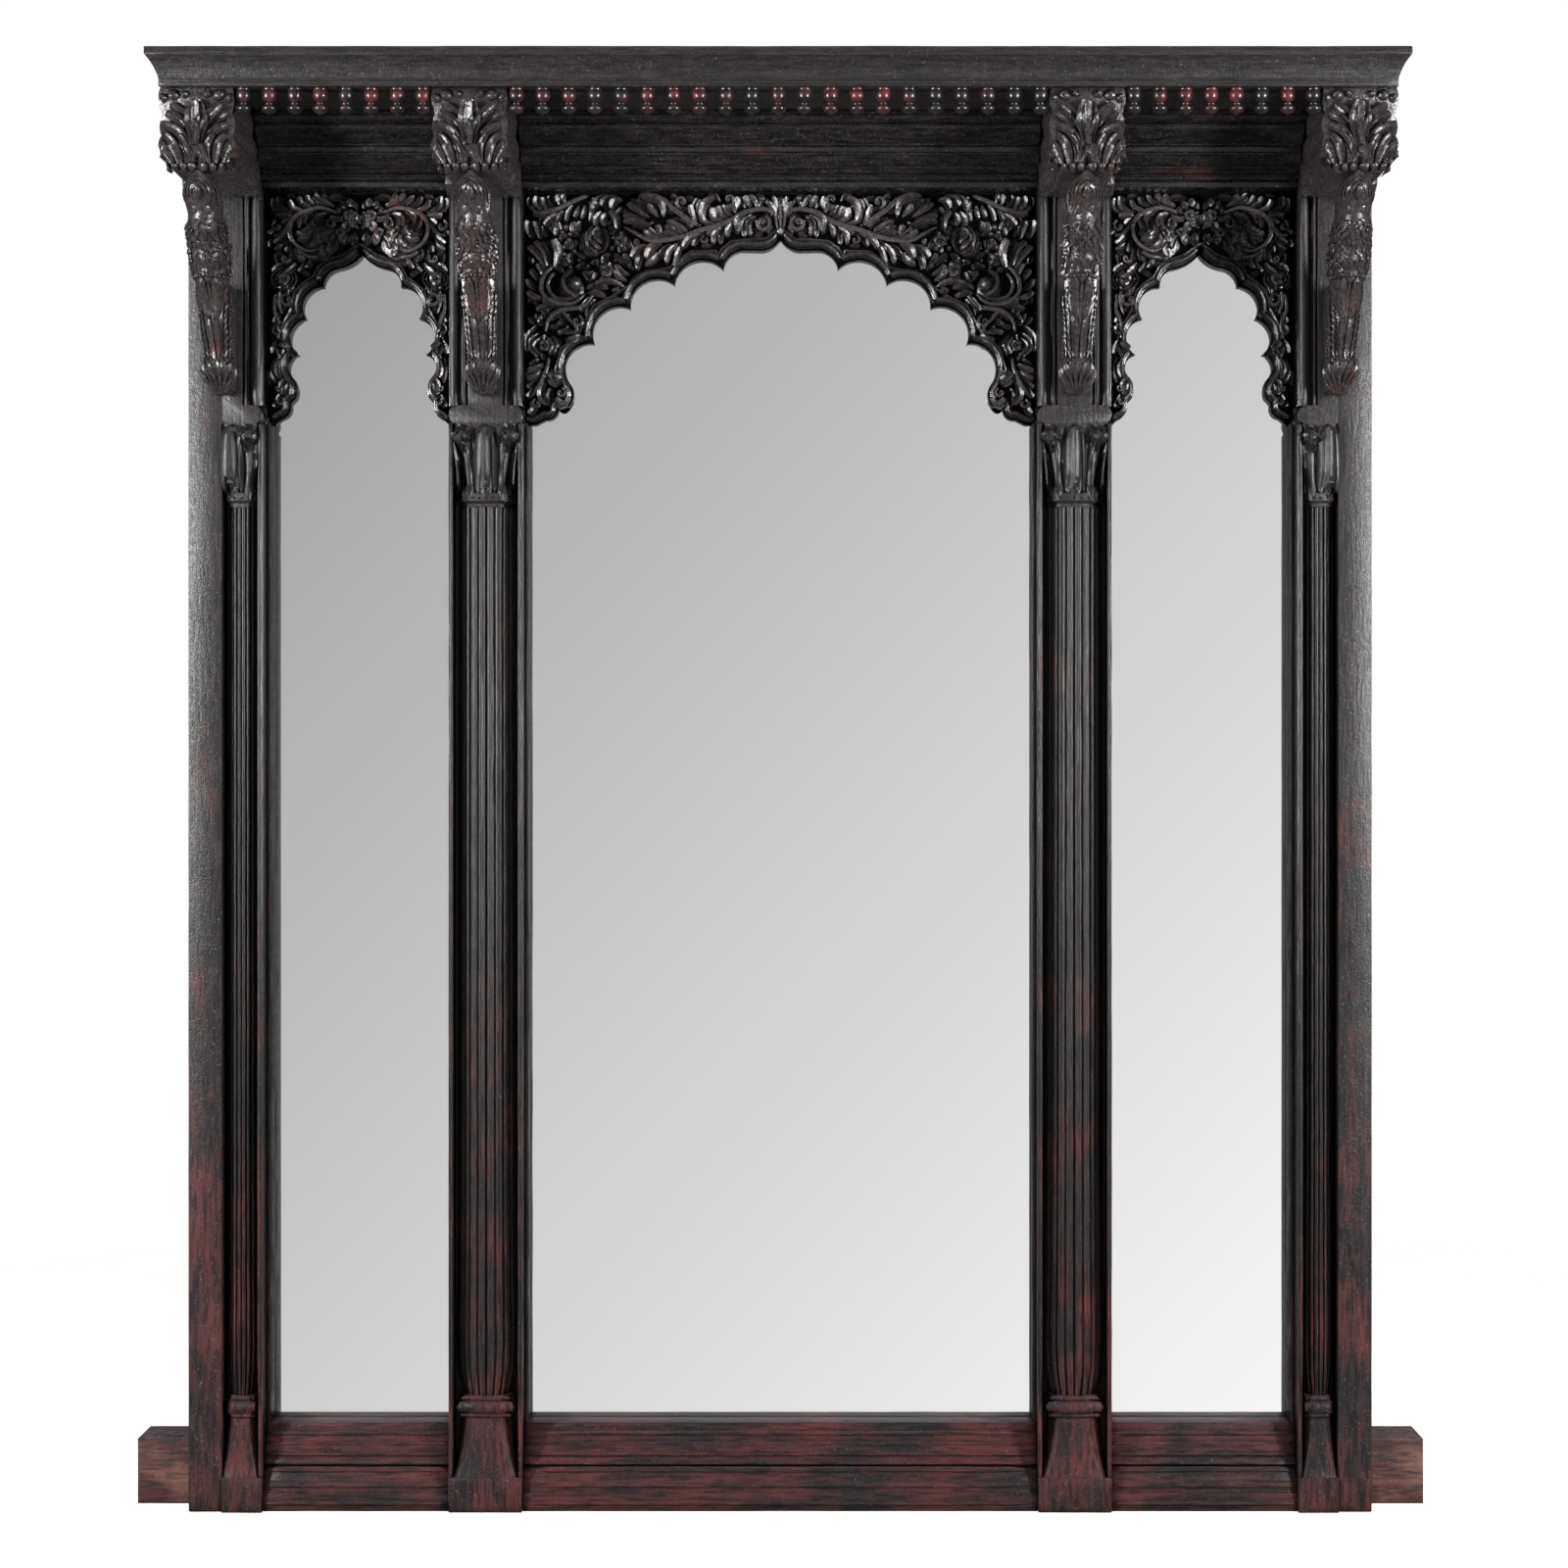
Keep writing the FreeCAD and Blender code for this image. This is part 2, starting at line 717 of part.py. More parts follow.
def bay_nodes(bays):
    """The pieces that every bay has once."""
    made = {}
    for name, (x0, x1) in bays.items():
        made["sill_moulding_" + name] = sill_moulding(x0, x1)
        made["frieze_board_" + name] = frieze(x0, x1)
        made["pane_stops_" + name] = pane_stops(x0, x1)
        made["mirror_pane_" + name] = mirror_pane(x0, x1)
        made["backing_board_" + name] = backing_board(x0, x1)
        made["pendant_drops_" + name] = pendant_drops(x0, x1)
    return made


def left_nodes():
    """Every piece of the left half that has a mirrored twin on the right."""
    made = {}
    inner_left = -inner_post_x - post_width / 2
    inner_right = inner_left + post_width
    end_right = -end_post_x + post_width / 2
    inner = (inner_left + channel_lip, inner_right - channel_lip)
    end = (end_right - channel_lip - end_channel, end_right - channel_lip)
    sides = {
        "left_inner": (-inner_post_x, inner, (inner_left, inner_right), (-1, 1), inner_front_shares),
        "left_end": (-end_post_x, end, (end[0], end_right), (1,), end_front_shares),
    }
    for name, (x, channel, foot, bay_sides, front_shares) in sides.items():
        made["post_" + name] = post(x, channel, bay_sides)
        made["pilaster_base_" + name] = pilaster_base(channel, foot)
        made["pilaster_shaft_" + name] = pilaster_shaft(channel)
        made["capital_" + name] = capital(channel, *front_shares)
        made["bracket_board_" + name] = bracket_board(foot[0], foot[1], len(bay_sides) == 2)
        made["bird_bracket_" + name] = bird_bracket(x)
        made["corbel_" + name] = corbel(x)
    centre_arch = (centre_cusp_shares, centre_foot_shares, centre_boss_shares)
    side_arch = (side_cusp_shares, side_foot_shares, side_boss_shares)
    made["arch_centre_left"] = arch_half(0, half_centre, centre_arch, -1)
    made["arch_left_outer"] = arch_half(-side_bay_x, side_bay / 2, side_arch, -1)
    made["arch_left_inner"] = arch_half(-side_bay_x, side_bay / 2, side_arch, 1)
    made["crown_return_left"] = crown_return()
    return made


def build():
    bays = {
        "left": (-side_bay_x - side_bay / 2, -side_bay_x + side_bay / 2),
        "centre": (-half_centre, half_centre),
        "right": (side_bay_x - side_bay / 2, side_bay_x + side_bay / 2),
    }
    nodes = bay_nodes(bays)
    for name, shape in left_nodes().items():
        nodes[name] = shape
        nodes[name.replace("left", "right")] = mirrored(shape)
    nodes["sill_beam"] = sill_beam()
    nodes["lintel_beam"] = lintel_beam()
    nodes["tenon_pegs"] = tenon_pegs()
    nodes["rebate_battens"] = rebate_battens(bays.values())
    nodes["cornice_board"] = cornice_board()
    nodes["crown_moulding_front"] = crown_front()
    os.makedirs("parts", exist_ok=True)
    for name, shape in sorted(nodes.items()):
        shape.translate(vector(0, frame_shift, 0))
        shape.exportStep("parts/" + name + ".step")
        print(name, len(shape.Solids), round(shape.Volume / 1000), "valid" if shape.isValid() else "broken")


build()
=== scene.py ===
import math
from functools import partial

import bmesh
import bpy
from bpy.props import FloatProperty, FloatVectorProperty, IntProperty, PointerProperty
from mathutils import Matrix, Vector, noise
from mathutils.bvhtree import BVHTree
from mathutils.kdtree import KDTree


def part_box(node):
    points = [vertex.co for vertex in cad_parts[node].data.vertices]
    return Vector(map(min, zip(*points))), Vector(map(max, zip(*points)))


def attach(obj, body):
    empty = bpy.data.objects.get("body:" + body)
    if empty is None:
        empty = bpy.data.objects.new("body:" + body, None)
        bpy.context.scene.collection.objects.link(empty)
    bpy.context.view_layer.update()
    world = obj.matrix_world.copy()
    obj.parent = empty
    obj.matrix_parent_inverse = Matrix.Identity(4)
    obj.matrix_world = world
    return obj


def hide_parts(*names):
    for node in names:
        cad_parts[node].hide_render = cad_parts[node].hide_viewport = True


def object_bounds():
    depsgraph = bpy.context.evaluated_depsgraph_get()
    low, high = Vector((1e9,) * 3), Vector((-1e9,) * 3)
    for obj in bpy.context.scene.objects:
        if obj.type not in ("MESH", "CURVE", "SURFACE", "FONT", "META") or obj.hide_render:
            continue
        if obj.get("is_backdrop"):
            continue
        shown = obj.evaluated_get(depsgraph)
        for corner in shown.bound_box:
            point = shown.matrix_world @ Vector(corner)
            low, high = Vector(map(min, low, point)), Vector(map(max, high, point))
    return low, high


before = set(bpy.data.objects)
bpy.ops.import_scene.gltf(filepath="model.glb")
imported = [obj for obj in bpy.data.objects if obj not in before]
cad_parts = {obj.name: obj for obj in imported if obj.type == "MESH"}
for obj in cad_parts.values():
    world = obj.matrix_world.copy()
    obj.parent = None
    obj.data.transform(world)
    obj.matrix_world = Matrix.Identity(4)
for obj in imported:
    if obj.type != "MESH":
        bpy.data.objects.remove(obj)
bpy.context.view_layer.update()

bl_info = {
    "name": "Carved Window Mirror",
    "version": (1, 0, 0),
    "blender": (4, 5, 0),
    "location": "3D View > Sidebar > Window Mirror",
    "description": "Finishes, carving and a studio for a carved window front fitted with mirrors",
    "category": "Object",
}

# without a seed of its own the vector noise would differ from run to run
noise.seed_set(1)

MM = 0.001
BAYS = ("left", "centre", "right")
POSTS = ("left_end", "left_inner", "right_inner", "right_end")
ARCHES = ("left_outer", "left_inner", "centre_left", "centre_right", "right_inner", "right_outer")
# how thick an arch is at the edge of its opening, and how far its ground is sunk behind its face
LIP = 7 * MM
GROUND = 9 * MM
# how far back the posts' jambs are painted black as shade, and where the painted shade of the rebates starts
# and ends
JAMBS = (0.042, 0.054)
REBATES = ((0.076, 0.084), (0.106, 0.111))
# corners closer than this are one corner, and faces that turn less than this are one face
WELD = 0.01 * MM
FLAT = math.radians(0.6)
# how far in front of a timber a ray starts that looks for its face
AHEAD = 0.05
# a bird's chart wraps round a body of this radius
GIRTH = 22 * MM
# near-black for painted shade: in recesses, in the rebates and jambs beside the panes, and on the carved
# ground
SHADE_BLACK = "#050404"


def srgb(code):
    """An sRGB hex colour as linear red, green, blue and alpha."""
    parts = [int(code[k:k + 2], 16) / 255 for k in (1, 3, 5)]
    return [((c + 0.055) / 1.055) ** 2.4 if c > 0.04045 else c / 12.92 for c in parts] + [1.0]


def colour(name, description, code):
    """A colour setting from an sRGB hex colour."""
    return FloatVectorProperty(name=name, description=description, subtype="COLOR", size=4,
                               min=0, max=1, default=srgb(code))


def length(name, description, value):
    """A length setting from millimetres."""
    return FloatProperty(name=name, description=description, default=value * MM,
                         min=0, subtype="DISTANCE", unit="LENGTH")


class WindowFinish(bpy.types.PropertyGroup):
    charcoal: colour("Charcoal wax", "Old dark wax on the upper carving", "#151415")
    umber: colour("Umber", "Dark teak where the wax is thin", "#262120")
    worn_red: colour("Worn red-brown", "Rubbed wood on the lower posts", "#482523")
    dry_wood: colour("Dry wood", "Bare, dusty wood on the sill's ends", "#6a4c43")
    # the dust colour is also that of the pale specks painted on the wax as glints
    dust_and_glints: colour("Dust", "Pale dust on ledges", "#67646a")
    drop_paint: colour("Drop paint", "Old red paint on the turned drops", "#571f21")
    plywood: colour("Plywood", "Backing boards", "#a5825a")


class WindowSizes(bpy.types.PropertyGroup):
    edge_wear: length("Edge wear", "Rounding of the timber's handled edges", 1.6)
    unevenness: length("Unevenness", "How far hand-planed faces stray", 0.5)
    slice_length: length("Slice length", "Spacing of the cuts that let long timber waver", 28)
    finger_rise: length("Finger rise", "How far a carved finger stands up from its ground", 10)
    reed_count: IntProperty(name="Reeds", description="Reeds round a pilaster's front", default=10,
                            min=3, max=12)
    feather_rise: length("Feather rise", "How far a carved feather stands off the bird", 1.6)


# Materials

def add_node(tree, kind, inputs=(), out=0, **options):
    """Adds a shader node, sets its options, feeds its inputs, by name or in their order, from values or other
    nodes' sockets, and returns one of its outputs."""
    node = tree.nodes.new("ShaderNode" + kind)
    for name, value in options.items():
        setattr(node, name, value)
    for name, value in inputs.items() if isinstance(inputs, dict) else enumerate(inputs):
        if isinstance(value, bpy.types.NodeSocket):
            tree.links.new(value, node.inputs[name])
        else:
            node.inputs[name].default_value = value
    return node.outputs[out] if node.outputs else None


def new_material(name):
    """A material without nodes, and the function that adds them."""
    material = bpy.data.materials.new(name)
    material.use_nodes = True
    material.node_tree.nodes.clear()
    return material, partial(add_node, material.node_tree)


def layered(add, *layers):
    """Colours laid over one another. Each layer goes from one colour to another by a share, and None stands
    for the colour below it."""
    tone = None
    for share, *ends in layers:
        first, second = (tone if end is None else end for end in ends)
        tone = add("Mix", {0: share, 6: first, 7: second}, out=2, data_type="RGBA")
    return tone


def teak(name, grain, dark, light, rubbed, gloss, rubbed_more=None, dusty=0.3, ground=None, lumpy=0.12,
         fine=0.4, shine=0.5, shade_by_panes=False):
    """Old teak under dark wax: the grain shows as short streaks, and handled parts are rubbed back to
    red-brown.
    Recesses are painted near-black as shade, by their ambient occlusion. The wax is grainy, so its highlights
    break up into sparkles, and pale specks on its grains are painted glints. Wear grows towards the floor,
    unless rubbed_more sets it."""
    material, add = new_material(name)
    dust_and_glints, shade_black = bpy.context.scene.window_finish.dust_and_glints, srgb(SHADE_BLACK)
    place = add("TexCoord", out="Object")
    stretch = {"upright": (1, 1, 0.12), "across": (0.12, 1, 1), "carved": (1, 1, 0.6)}[grain]
    along = add("Mapping", {"Vector": place, "Scale": stretch})
    drift = add("Mapping", {"Vector": along, "Scale": (30, 30, 30)})
    # streaks 4 mm wide, wax grains of 2 mm and lumps of 6 mm, and rubbed patches of about 120 mm
    streaks = add("TexNoise", {"Vector": along, "Scale": 250, "Detail": 4, "Roughness": 0.6})
    grains = add("TexNoise", {"Vector": place, "Scale": 420, "Detail": 3, "Roughness": 0.6})
    lumps = add("TexNoise", {"Vector": place, "Scale": 150, "Detail": 2})
    patches = add("TexNoise", {"Vector": place, "Scale": 8, "Detail": 6, "Roughness": 0.65})
    bands = add("TexNoise", {"Vector": drift, "Scale": 2.2, "Detail": 3})
    x, y, z = add("SeparateXYZ", (place,)).node.outputs
    face_x, _, face_z = add("SeparateXYZ", (add("NewGeometry", out="Normal"),)).node.outputs

    low_down = add("MapRange", (z, 0.05, 1.2, 0.11, -0.16)) if rubbed_more is None else rubbed_more
    worn = add("Math", (add("Math", (patches, low_down)), add("MapRange", (bands, 0.3, 0.7, -0.1, 0.1))))
    ledge = add("MapRange", (face_z, 0.75, 1, 0, dusty))
    settled = add("Math", (ledge, add("MapRange", (lumps, 0.3, 0.6))), operation="MULTIPLY")
    tone = layered(add,
                   (add("MapRange", (streaks, 0.36, 0.66)), dark, light),
                   (add("MapRange", (worn, 0.5, 0.7, 0, 0.75)), None, rubbed),
                   (add("MapRange", (streaks, 0.36, 0.54, 0.8, 0)), None, dark),
                   # painted glints: pale specks on the wax's grains; then real dust on ledges that face up
                   (add("MapRange", (grains, 0.62, 0.71, 0, 0.5)), None, dust_and_glints),
                   (settled, None, dust_and_glints))
    # the wax is polished high up, and dry and dull near the floor
    shine = add("MapRange", (z, 0.15, 1.3, shine * 0.3, shine))
    if ground is None:
        # painted shade: the colour darkens to near-black where the occlusion finds the surface enclosed
        open_sky = add("AmbientOcclusion", {"Distance": 0.012}, out="AO", samples=6)
        tone = layered(add, (add("MapRange", (open_sky, 0.25, 0.8, 0.08, 1)), shade_black, tone))
    if shade_by_panes:
        # painted shade: the rebates and the jambs beside the panes are painted near-black and dull, as the
        # shade there, but not the outer faces
        rebates = add("Math", (add("MapRange", (y, *REBATES[0])), add("MapRange", (y, *REBATES[1], 1, 0))),
                      operation="MULTIPLY")
        sideways = add("MapRange", (add("Math", (face_x,), operation="ABSOLUTE"), 0.7, 0.95))
        black = add("Math", (rebates, add("MapRange", (y, *JAMBS, 0, sideways))), operation="MAXIMUM")
        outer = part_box("post_right_end")[1].x - 8 * MM
        aside = add("Math", (x,), operation="ABSOLUTE")
        inward = add("MapRange", (aside, outer, outer + 4 * MM, 1, 0))
        black = add("Math", (black, inward), operation="MULTIPLY")
        tone = layered(add, (black, tone, shade_black))
        shine = add("MapRange", (black, 0, 1, shine, 0.05))
    if ground is not None:
        # painted shade: the carved ground is painted near-black and dull, darker the deeper it lies, and only
        # what stands above it keeps its colour and sheen
        above = add("MapRange", (y, ground - 9 * MM, ground - 2 * MM, 1, 0))
        tone = layered(add, (above, shade_black, tone))
        shine = add("MapRange", (above, 0, 0.8, 0.06, 0.75))

    relief = add("Bump", {"Height": lumps, "Strength": lumpy, "Distance": 0.0016})
    for height, strength in ((streaks, 0.55), (grains, fine)):
        relief = add("Bump", {"Height": height, "Strength": strength, "Distance": 0.001, "Normal": relief})
    rough = add("MapRange", (lumps, 0.3, 0.7, gloss, gloss + 0.14))
    skin = add("BsdfPrincipled", {"Base Color": tone, "Roughness": rough, "IOR": 1.45,
                                  "Specular IOR Level": shine, "Normal": relief})
    add("OutputMaterial", {"Surface": skin})
    return material


def painted_drops():
    """Turned teak with old red paint: glossy on the bulbs, painted dark as shade in the rings' hollows, and
    uneven from drop to drop."""
    finish = bpy.context.scene.window_finish
    material, add = new_material("rubbed red paint on turned teak")
    place = add("TexCoord", out="Object")
    # a change every 32 mm, so that neighbouring drops differ
    row = add("Mapping", {"Vector": place, "Scale": (1, 0.01, 0.01)})
    each = add("TexNoise", {"Vector": row, "Scale": 24, "Detail": 2})
    rubs = add("TexNoise", {"Vector": place, "Scale": 90, "Detail": 5})
    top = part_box("pendant_drops_centre")[1].z
    bulb = add("MapRange", (add("SeparateXYZ", (place,), out="Z"), top - 20 * MM, top - 15 * MM))
    paint = add("MapRange", (add("Math", (each, rubs), operation="MULTIPLY"), 0.2, 0.44))
    paint = add("Math", (paint, add("MapRange", (bulb, 0, 1, 0.25, 1))), operation="MULTIPLY")
    # painted shade: near-black where the occlusion finds the rings' hollows
    open_sky = add("AmbientOcclusion", {"Distance": 0.006}, out="AO", samples=6)
    tone = layered(add,
                   (paint, finish.charcoal, finish.drop_paint),
                   (add("MapRange", (open_sky, 0.2, 0.75, 0.3, 1)), srgb("#0a0606"), None))
    rough = add("MapRange", (rubs, 0.3, 0.7, 0.2, 0.42))
    relief = add("Bump", {"Height": rubs, "Strength": 0.3, "Distance": 0.0005})
    skin = add("BsdfPrincipled", {"Base Color": tone, "Roughness": rough, "IOR": 1.5, "Normal": relief})
    add("OutputMaterial", {"Surface": skin})
    return material


def silvered_glass():
    """Float glass silvered at the back: a clean, faintly soft reflection."""
    material, add = new_material("silvered float glass")
    # wiping marks about 60 mm wide
    haze = add("TexNoise", {"Vector": add("TexCoord", out="Object"), "Scale": 16, "Detail": 4})
    glass = add("BsdfPrincipled", {"Base Color": srgb("#f5f4f4"), "Metallic": 1.0,
                                   "Roughness": add("MapRange", (haze, 0.4, 0.7, 0.012, 0.03))})
    add("OutputMaterial", {"Surface": glass})
    return material


def sanded_plywood():
    """Sanded plywood: pale, matt, with broad wavy grain."""
    material, add = new_material("sanded plywood")
    along = add("Mapping", {"Vector": add("TexCoord", out="Object"), "Scale": (1, 1, 0.08)})
    # growth rings about 15 mm apart, with pores of 2 mm
    rings = add("TexWave", {"Vector": along, "Scale": 12, "Distortion": 9, "Detail": 3}, out="Fac")
    pores = add("TexNoise", {"Vector": along, "Scale": 500, "Detail": 3})
    wood = bpy.context.scene.window_finish.plywood
    tone = layered(add,
                   (add("MapRange", (rings, 0.2, 0.9, 0, 0.3)), wood, srgb("#7d5c3a")),
                   (add("MapRange", (pores, 0.55, 0.75, 0, 0.5)), None, srgb("#5e4329")))
    relief = add("Bump", {"Height": pores, "Strength": 0.2, "Distance": 0.0003})
    skin = add("BsdfPrincipled", {"Base Color": tone, "Roughness": 0.7, "IOR": 1.5, "Normal": relief})
    add("OutputMaterial", {"Surface": skin})
    return material


MATERIALS = {}


def material_for(key):
    """One shared material for each finish, made when it is first asked for."""
    finish = bpy.context.scene.window_finish
    waxed = (finish.charcoal, finish.umber, finish.worn_red)
    recipes = {
        "upright": lambda: teak("dark waxed teak, upright grain", "upright", *waxed, 0.33, fine=0.5,
                                shine=0.45, shade_by_panes=True),
        "across": lambda: teak("dark waxed teak, grain across", "across", *waxed, 0.28, shine=0.45),
        # painted shade: the frieze under the cornice gets darker copies of the colours, as its shade
        "shaded": lambda: teak("teak painted dark as shade, grain across", "across", srgb("#080708"),
                               srgb("#1d1919"), finish.worn_red, 0.2, rubbed_more=-0.12, dusty=0.1),
        "carved": lambda: teak("dark waxed teak, carved", "carved", srgb("#1e1c1d"), srgb("#352f2e"),
                               finish.worn_red, 0.22, rubbed_more=-0.09, lumpy=0.5, fine=0.3),
        # its carved ground is painted near-black as shade
        "pierced": lambda: teak("dark waxed teak, carved, with painted shade on its ground", "carved", srgb("#1f1d1e"),
                                srgb("#383231"), finish.worn_red, 0.24, rubbed_more=-0.09, lumpy=0.5,
                                fine=0.25, ground=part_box("arch_centre_left")[0].y + GROUND),
        "dry": lambda: teak("dry weathered teak, grain across", "across", finish.umber, finish.worn_red,
                            finish.dry_wood, 0.5, rubbed_more=0.08, dusty=0.6),
        "drops": painted_drops,
        "mirror": silvered_glass,
        "plywood": sanded_plywood,
    }
    if key not in MATERIALS:
        MATERIALS[key] = recipes[key]()
    return MATERIALS[key]


# Pieces

def finish_piece(bm, name, finish, stands_for=(), sharp=38, turn_out=True):
    """Makes the mesh an object that rides on the frame, in place of the solids that it stands for."""
    if turn_out:
        bmesh.ops.recalc_face_normals(bm, faces=bm.faces)
    mesh = bpy.data.meshes.new(name)
    bm.to_mesh(mesh)
    bm.free()
    mesh.shade_smooth()
    mesh.set_sharp_from_angle(angle=math.radians(sharp))
    mesh.materials.append(material_for(finish))
    piece = bpy.data.objects.new(name, mesh)
    bpy.context.scene.collection.objects.link(piece)
    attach(piece, "root")
    for node in stands_for:
        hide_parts(node)


def place_shape(bm, shape):
    """Adds a small shape to a piece. Shapes are made apart, since an operator slows as its mesh grows."""
    hold = bpy.data.meshes.new("shape")
    shape.to_mesh(hold)
    shape.free()
    bm.from_mesh(hold)
    bpy.data.meshes.remove(hold)


def roughen(bm, amount, spread):
    """Moves the surface by a slow, even noise, so that no edge stays ruler-straight."""
    for vert in bm.verts:
        vert.co += noise.noise_vector(vert.co / spread) * amount


def hold_within(bm, low, high):
    """Moves what stands outside a box back to its sides."""
    for vert in bm.verts:
        vert.co = [min(max(c, a), b) for c, a, b in zip(vert.co, low, high)]


def joined_up(node):
    """A copy of a solid's mesh, with its loose triangles joined into whole faces."""
    bm = bmesh.new()
    bm.from_mesh(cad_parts[node].data)
    bmesh.ops.remove_doubles(bm, verts=bm.verts, dist=WELD)
    bmesh.ops.dissolve_limit(bm, angle_limit=FLAT, verts=bm.verts, edges=bm.edges)
    return bm


def face_of(timber, start):
    """A function that gives how far back a timber's face lies at x and z, or None where it has none."""
    tree = BVHTree.FromObject(bpy.data.objects[timber], bpy.context.evaluated_depsgraph_get())

    def face(x, z):
        hit = tree.ray_cast(Vector((x, start, z)), (0, 1, 0))[0]
        return hit.y if hit else None

    return face


def opening_edges(bm, low, high):
    """The edges between an arch's front face and the wall of its opening."""
    spare = 0.1 * MM
    found = []
    for edge in bm.edges:
        a, b = (vert.co for vert in edge.verts)
        framed = min(a.z, b.z) > high.z - spare or any(
            max(abs(a.x - side), abs(b.x - side)) < spare for side in (low.x, high.x))
        walls = [face for face in edge.link_faces if abs(face.normal.y) < 0.2]
        backs = [max(vert.co.y for vert in wall.verts) for wall in walls]
        if max(a.y, b.y) < low.y + spare and not framed and max(backs, default=low.y) > high.y - spare:
            found.append(edge)
    return found


def worn_timber(node, name, finish, wear, hollowed=False):
    """A solid's shape as an old timber: its edges are rubbed round and its long faces waver. An arch can also
    be cut back towards the glass along its opening."""
    sizes = bpy.context.scene.window_sizes
    low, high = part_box(node)
    bm = joined_up(node)
    if hollowed:
        bmesh.ops.triangulate(bm, faces=[f for f in bm.faces if f.normal.y < -0.99])
        for vert in {vert for edge in opening_edges(bm, low, high) for vert in edge.verts}:
            vert.co.y = high.y - LIP
    edges = [e for e in bm.edges if len(e.link_faces) == 2 and e.calc_face_angle(0) > math.radians(24)]
    bmesh.ops.bevel(bm, geom=edges, offset=sizes.edge_wear * wear, offset_type="OFFSET", segments=2,
                    profile=0.5, affect="EDGES", material=-1, clamp_overlap=True)
    spans = high - low
    axis = max(range(3), key=lambda k: spans[k])
    normal = Vector([k == axis for k in range(3)])
    cuts = int(spans[axis] / sizes.slice_length)
    for k in range(1, cuts):
        bmesh.ops.bisect_plane(bm, geom=bm.verts[:] + bm.edges[:] + bm.faces[:], dist=0.001 * MM,
                               plane_co=low + spans * (k / cuts), plane_no=normal)
    roughen(bm, sizes.unevenness, 0.05)
    hold_within(bm, low, high)
    finish_piece(bm, name, finish, [node], sharp=30, turn_out=False)


# Carving. A carver's chart has x across and y up, both in metres, and a surface places chart points in space.

def off(at, radius, degrees):
    """The chart point at a distance and a heading from another."""
    heading = math.radians(degrees)
    return (at[0] + radius * math.cos(heading), at[1] + radius * math.sin(heading))


def trace(start, heading, reach, bend=0.0, curl=0.0, steps=7):
    """Chart points of a stroke that turns by bend degrees on its way, and faster by curl towards its end."""
    points = [tuple(start)]
    for k in range(steps):
        share = (k + 0.5) / steps
        points.append(off(points[-1], reach / steps, heading + bend * share + curl * share ** 2))
    return points


def through(stops, steps=4):
    """Chart points of a smooth curve through the stops."""
    stops = [Vector(p) for p in stops]
    points = []
    for k in range(len(stops) - 1):
        before, a, b, after = stops[max(k - 1, 0)], stops[k], stops[k + 1], stops[min(k + 2, len(stops) - 1)]
        for j in range(steps):
            t = j / steps
            points.append(tuple(
                0.5 * (2 * a + (b - before) * t + (2 * before - 5 * a + 4 * b - after) * t ** 2
                       + (3 * a - before - 3 * b + after) * t ** 3)))
    points.append(tuple(stops[-1]))
    return points


def route_of(places, side=1, rise=1, steps=4):
    """Chart points of a smooth curve through places that a table gives in millimetres, across then up."""
    return through([(side * x * MM, rise * y * MM) for x, y in zip(places[::2], places[1::2])], steps)


def between(stops, share):
    """The value at a share of the way through evenly or unevenly spaced stops, eased from one to the next."""
    for (a, low), (b, high) in zip(stops, stops[1:]):
        if share <= b:
            t = (share - a) / (b - a) if b > a else 0
            return low + (high - low) * t * t * (3 - 2 * t)
    return stops[-1][1]


def stroke(bm, points, width, rise, surface, hollow=0.5, belly=1.5, blunt=0.55, sides=12, sunk=1.5 * MM):
    """One carved finger or stem along the points, pointed at both ends. The rise is its height at the start,
    in the middle and at the end. It is round on top, or hollowed by a share of its half width."""
    last = len(points) - 1
    shape = bmesh.new()
    bmesh.ops.create_uvsphere(shape, u_segments=sides, v_segments=last, radius=1)
    start, middle, end = rise
    for vert in shape.verts:
        k = round(math.acos(max(-1.0, min(1.0, vert.co.z))) * last / math.pi)
        share = k / last
        ahead, behind = points[min(k + 1, last)], points[max(k - 1, 0)]
        run = Vector((ahead[0] - behind[0], ahead[1] - behind[1])).normalized()
        half = width / 2 * math.sin(math.pi * share ** belly) ** blunt if 0 < k < last else 0
        top = start * (1 - share) * (1 - 2 * share) + 4 * middle * share * (1 - share)
        top += end * share * (2 * share - 1)
        across = Vector((vert.co.x, vert.co.y))
        height = top * 0.4
        if 0 < k < last:
            across.normalize()
            if across.y < 0.01:
                height = -sunk
            elif hollow:
                height = top * min(1, across.y * 1.8) - hollow * half * max(0.0, 1 - (across.x / 0.87) ** 2)
            else:
                height = top * across.y
        else:
            across = Vector((0, 0))
        x, y = points[k]
        vert.co = surface(x - run.y * half * across.x, y + run.x * half * across.x, height)
    place_shape(bm, shape)


def bead(bm, at, radius, rise, surface, sides=8):
    """A round bead, let 1 mm into the ground."""
    shape = bmesh.new()
    bmesh.ops.create_uvsphere(shape, u_segments=sides, v_segments=6, radius=1)
    for vert in shape.verts:
        height = (rise if vert.co.z > 0 else 1 * MM) * vert.co.z
        vert.co = surface(at[0] + radius * vert.co.x, at[1] + radius * vert.co.y, height)
    place_shape(bm, shape)


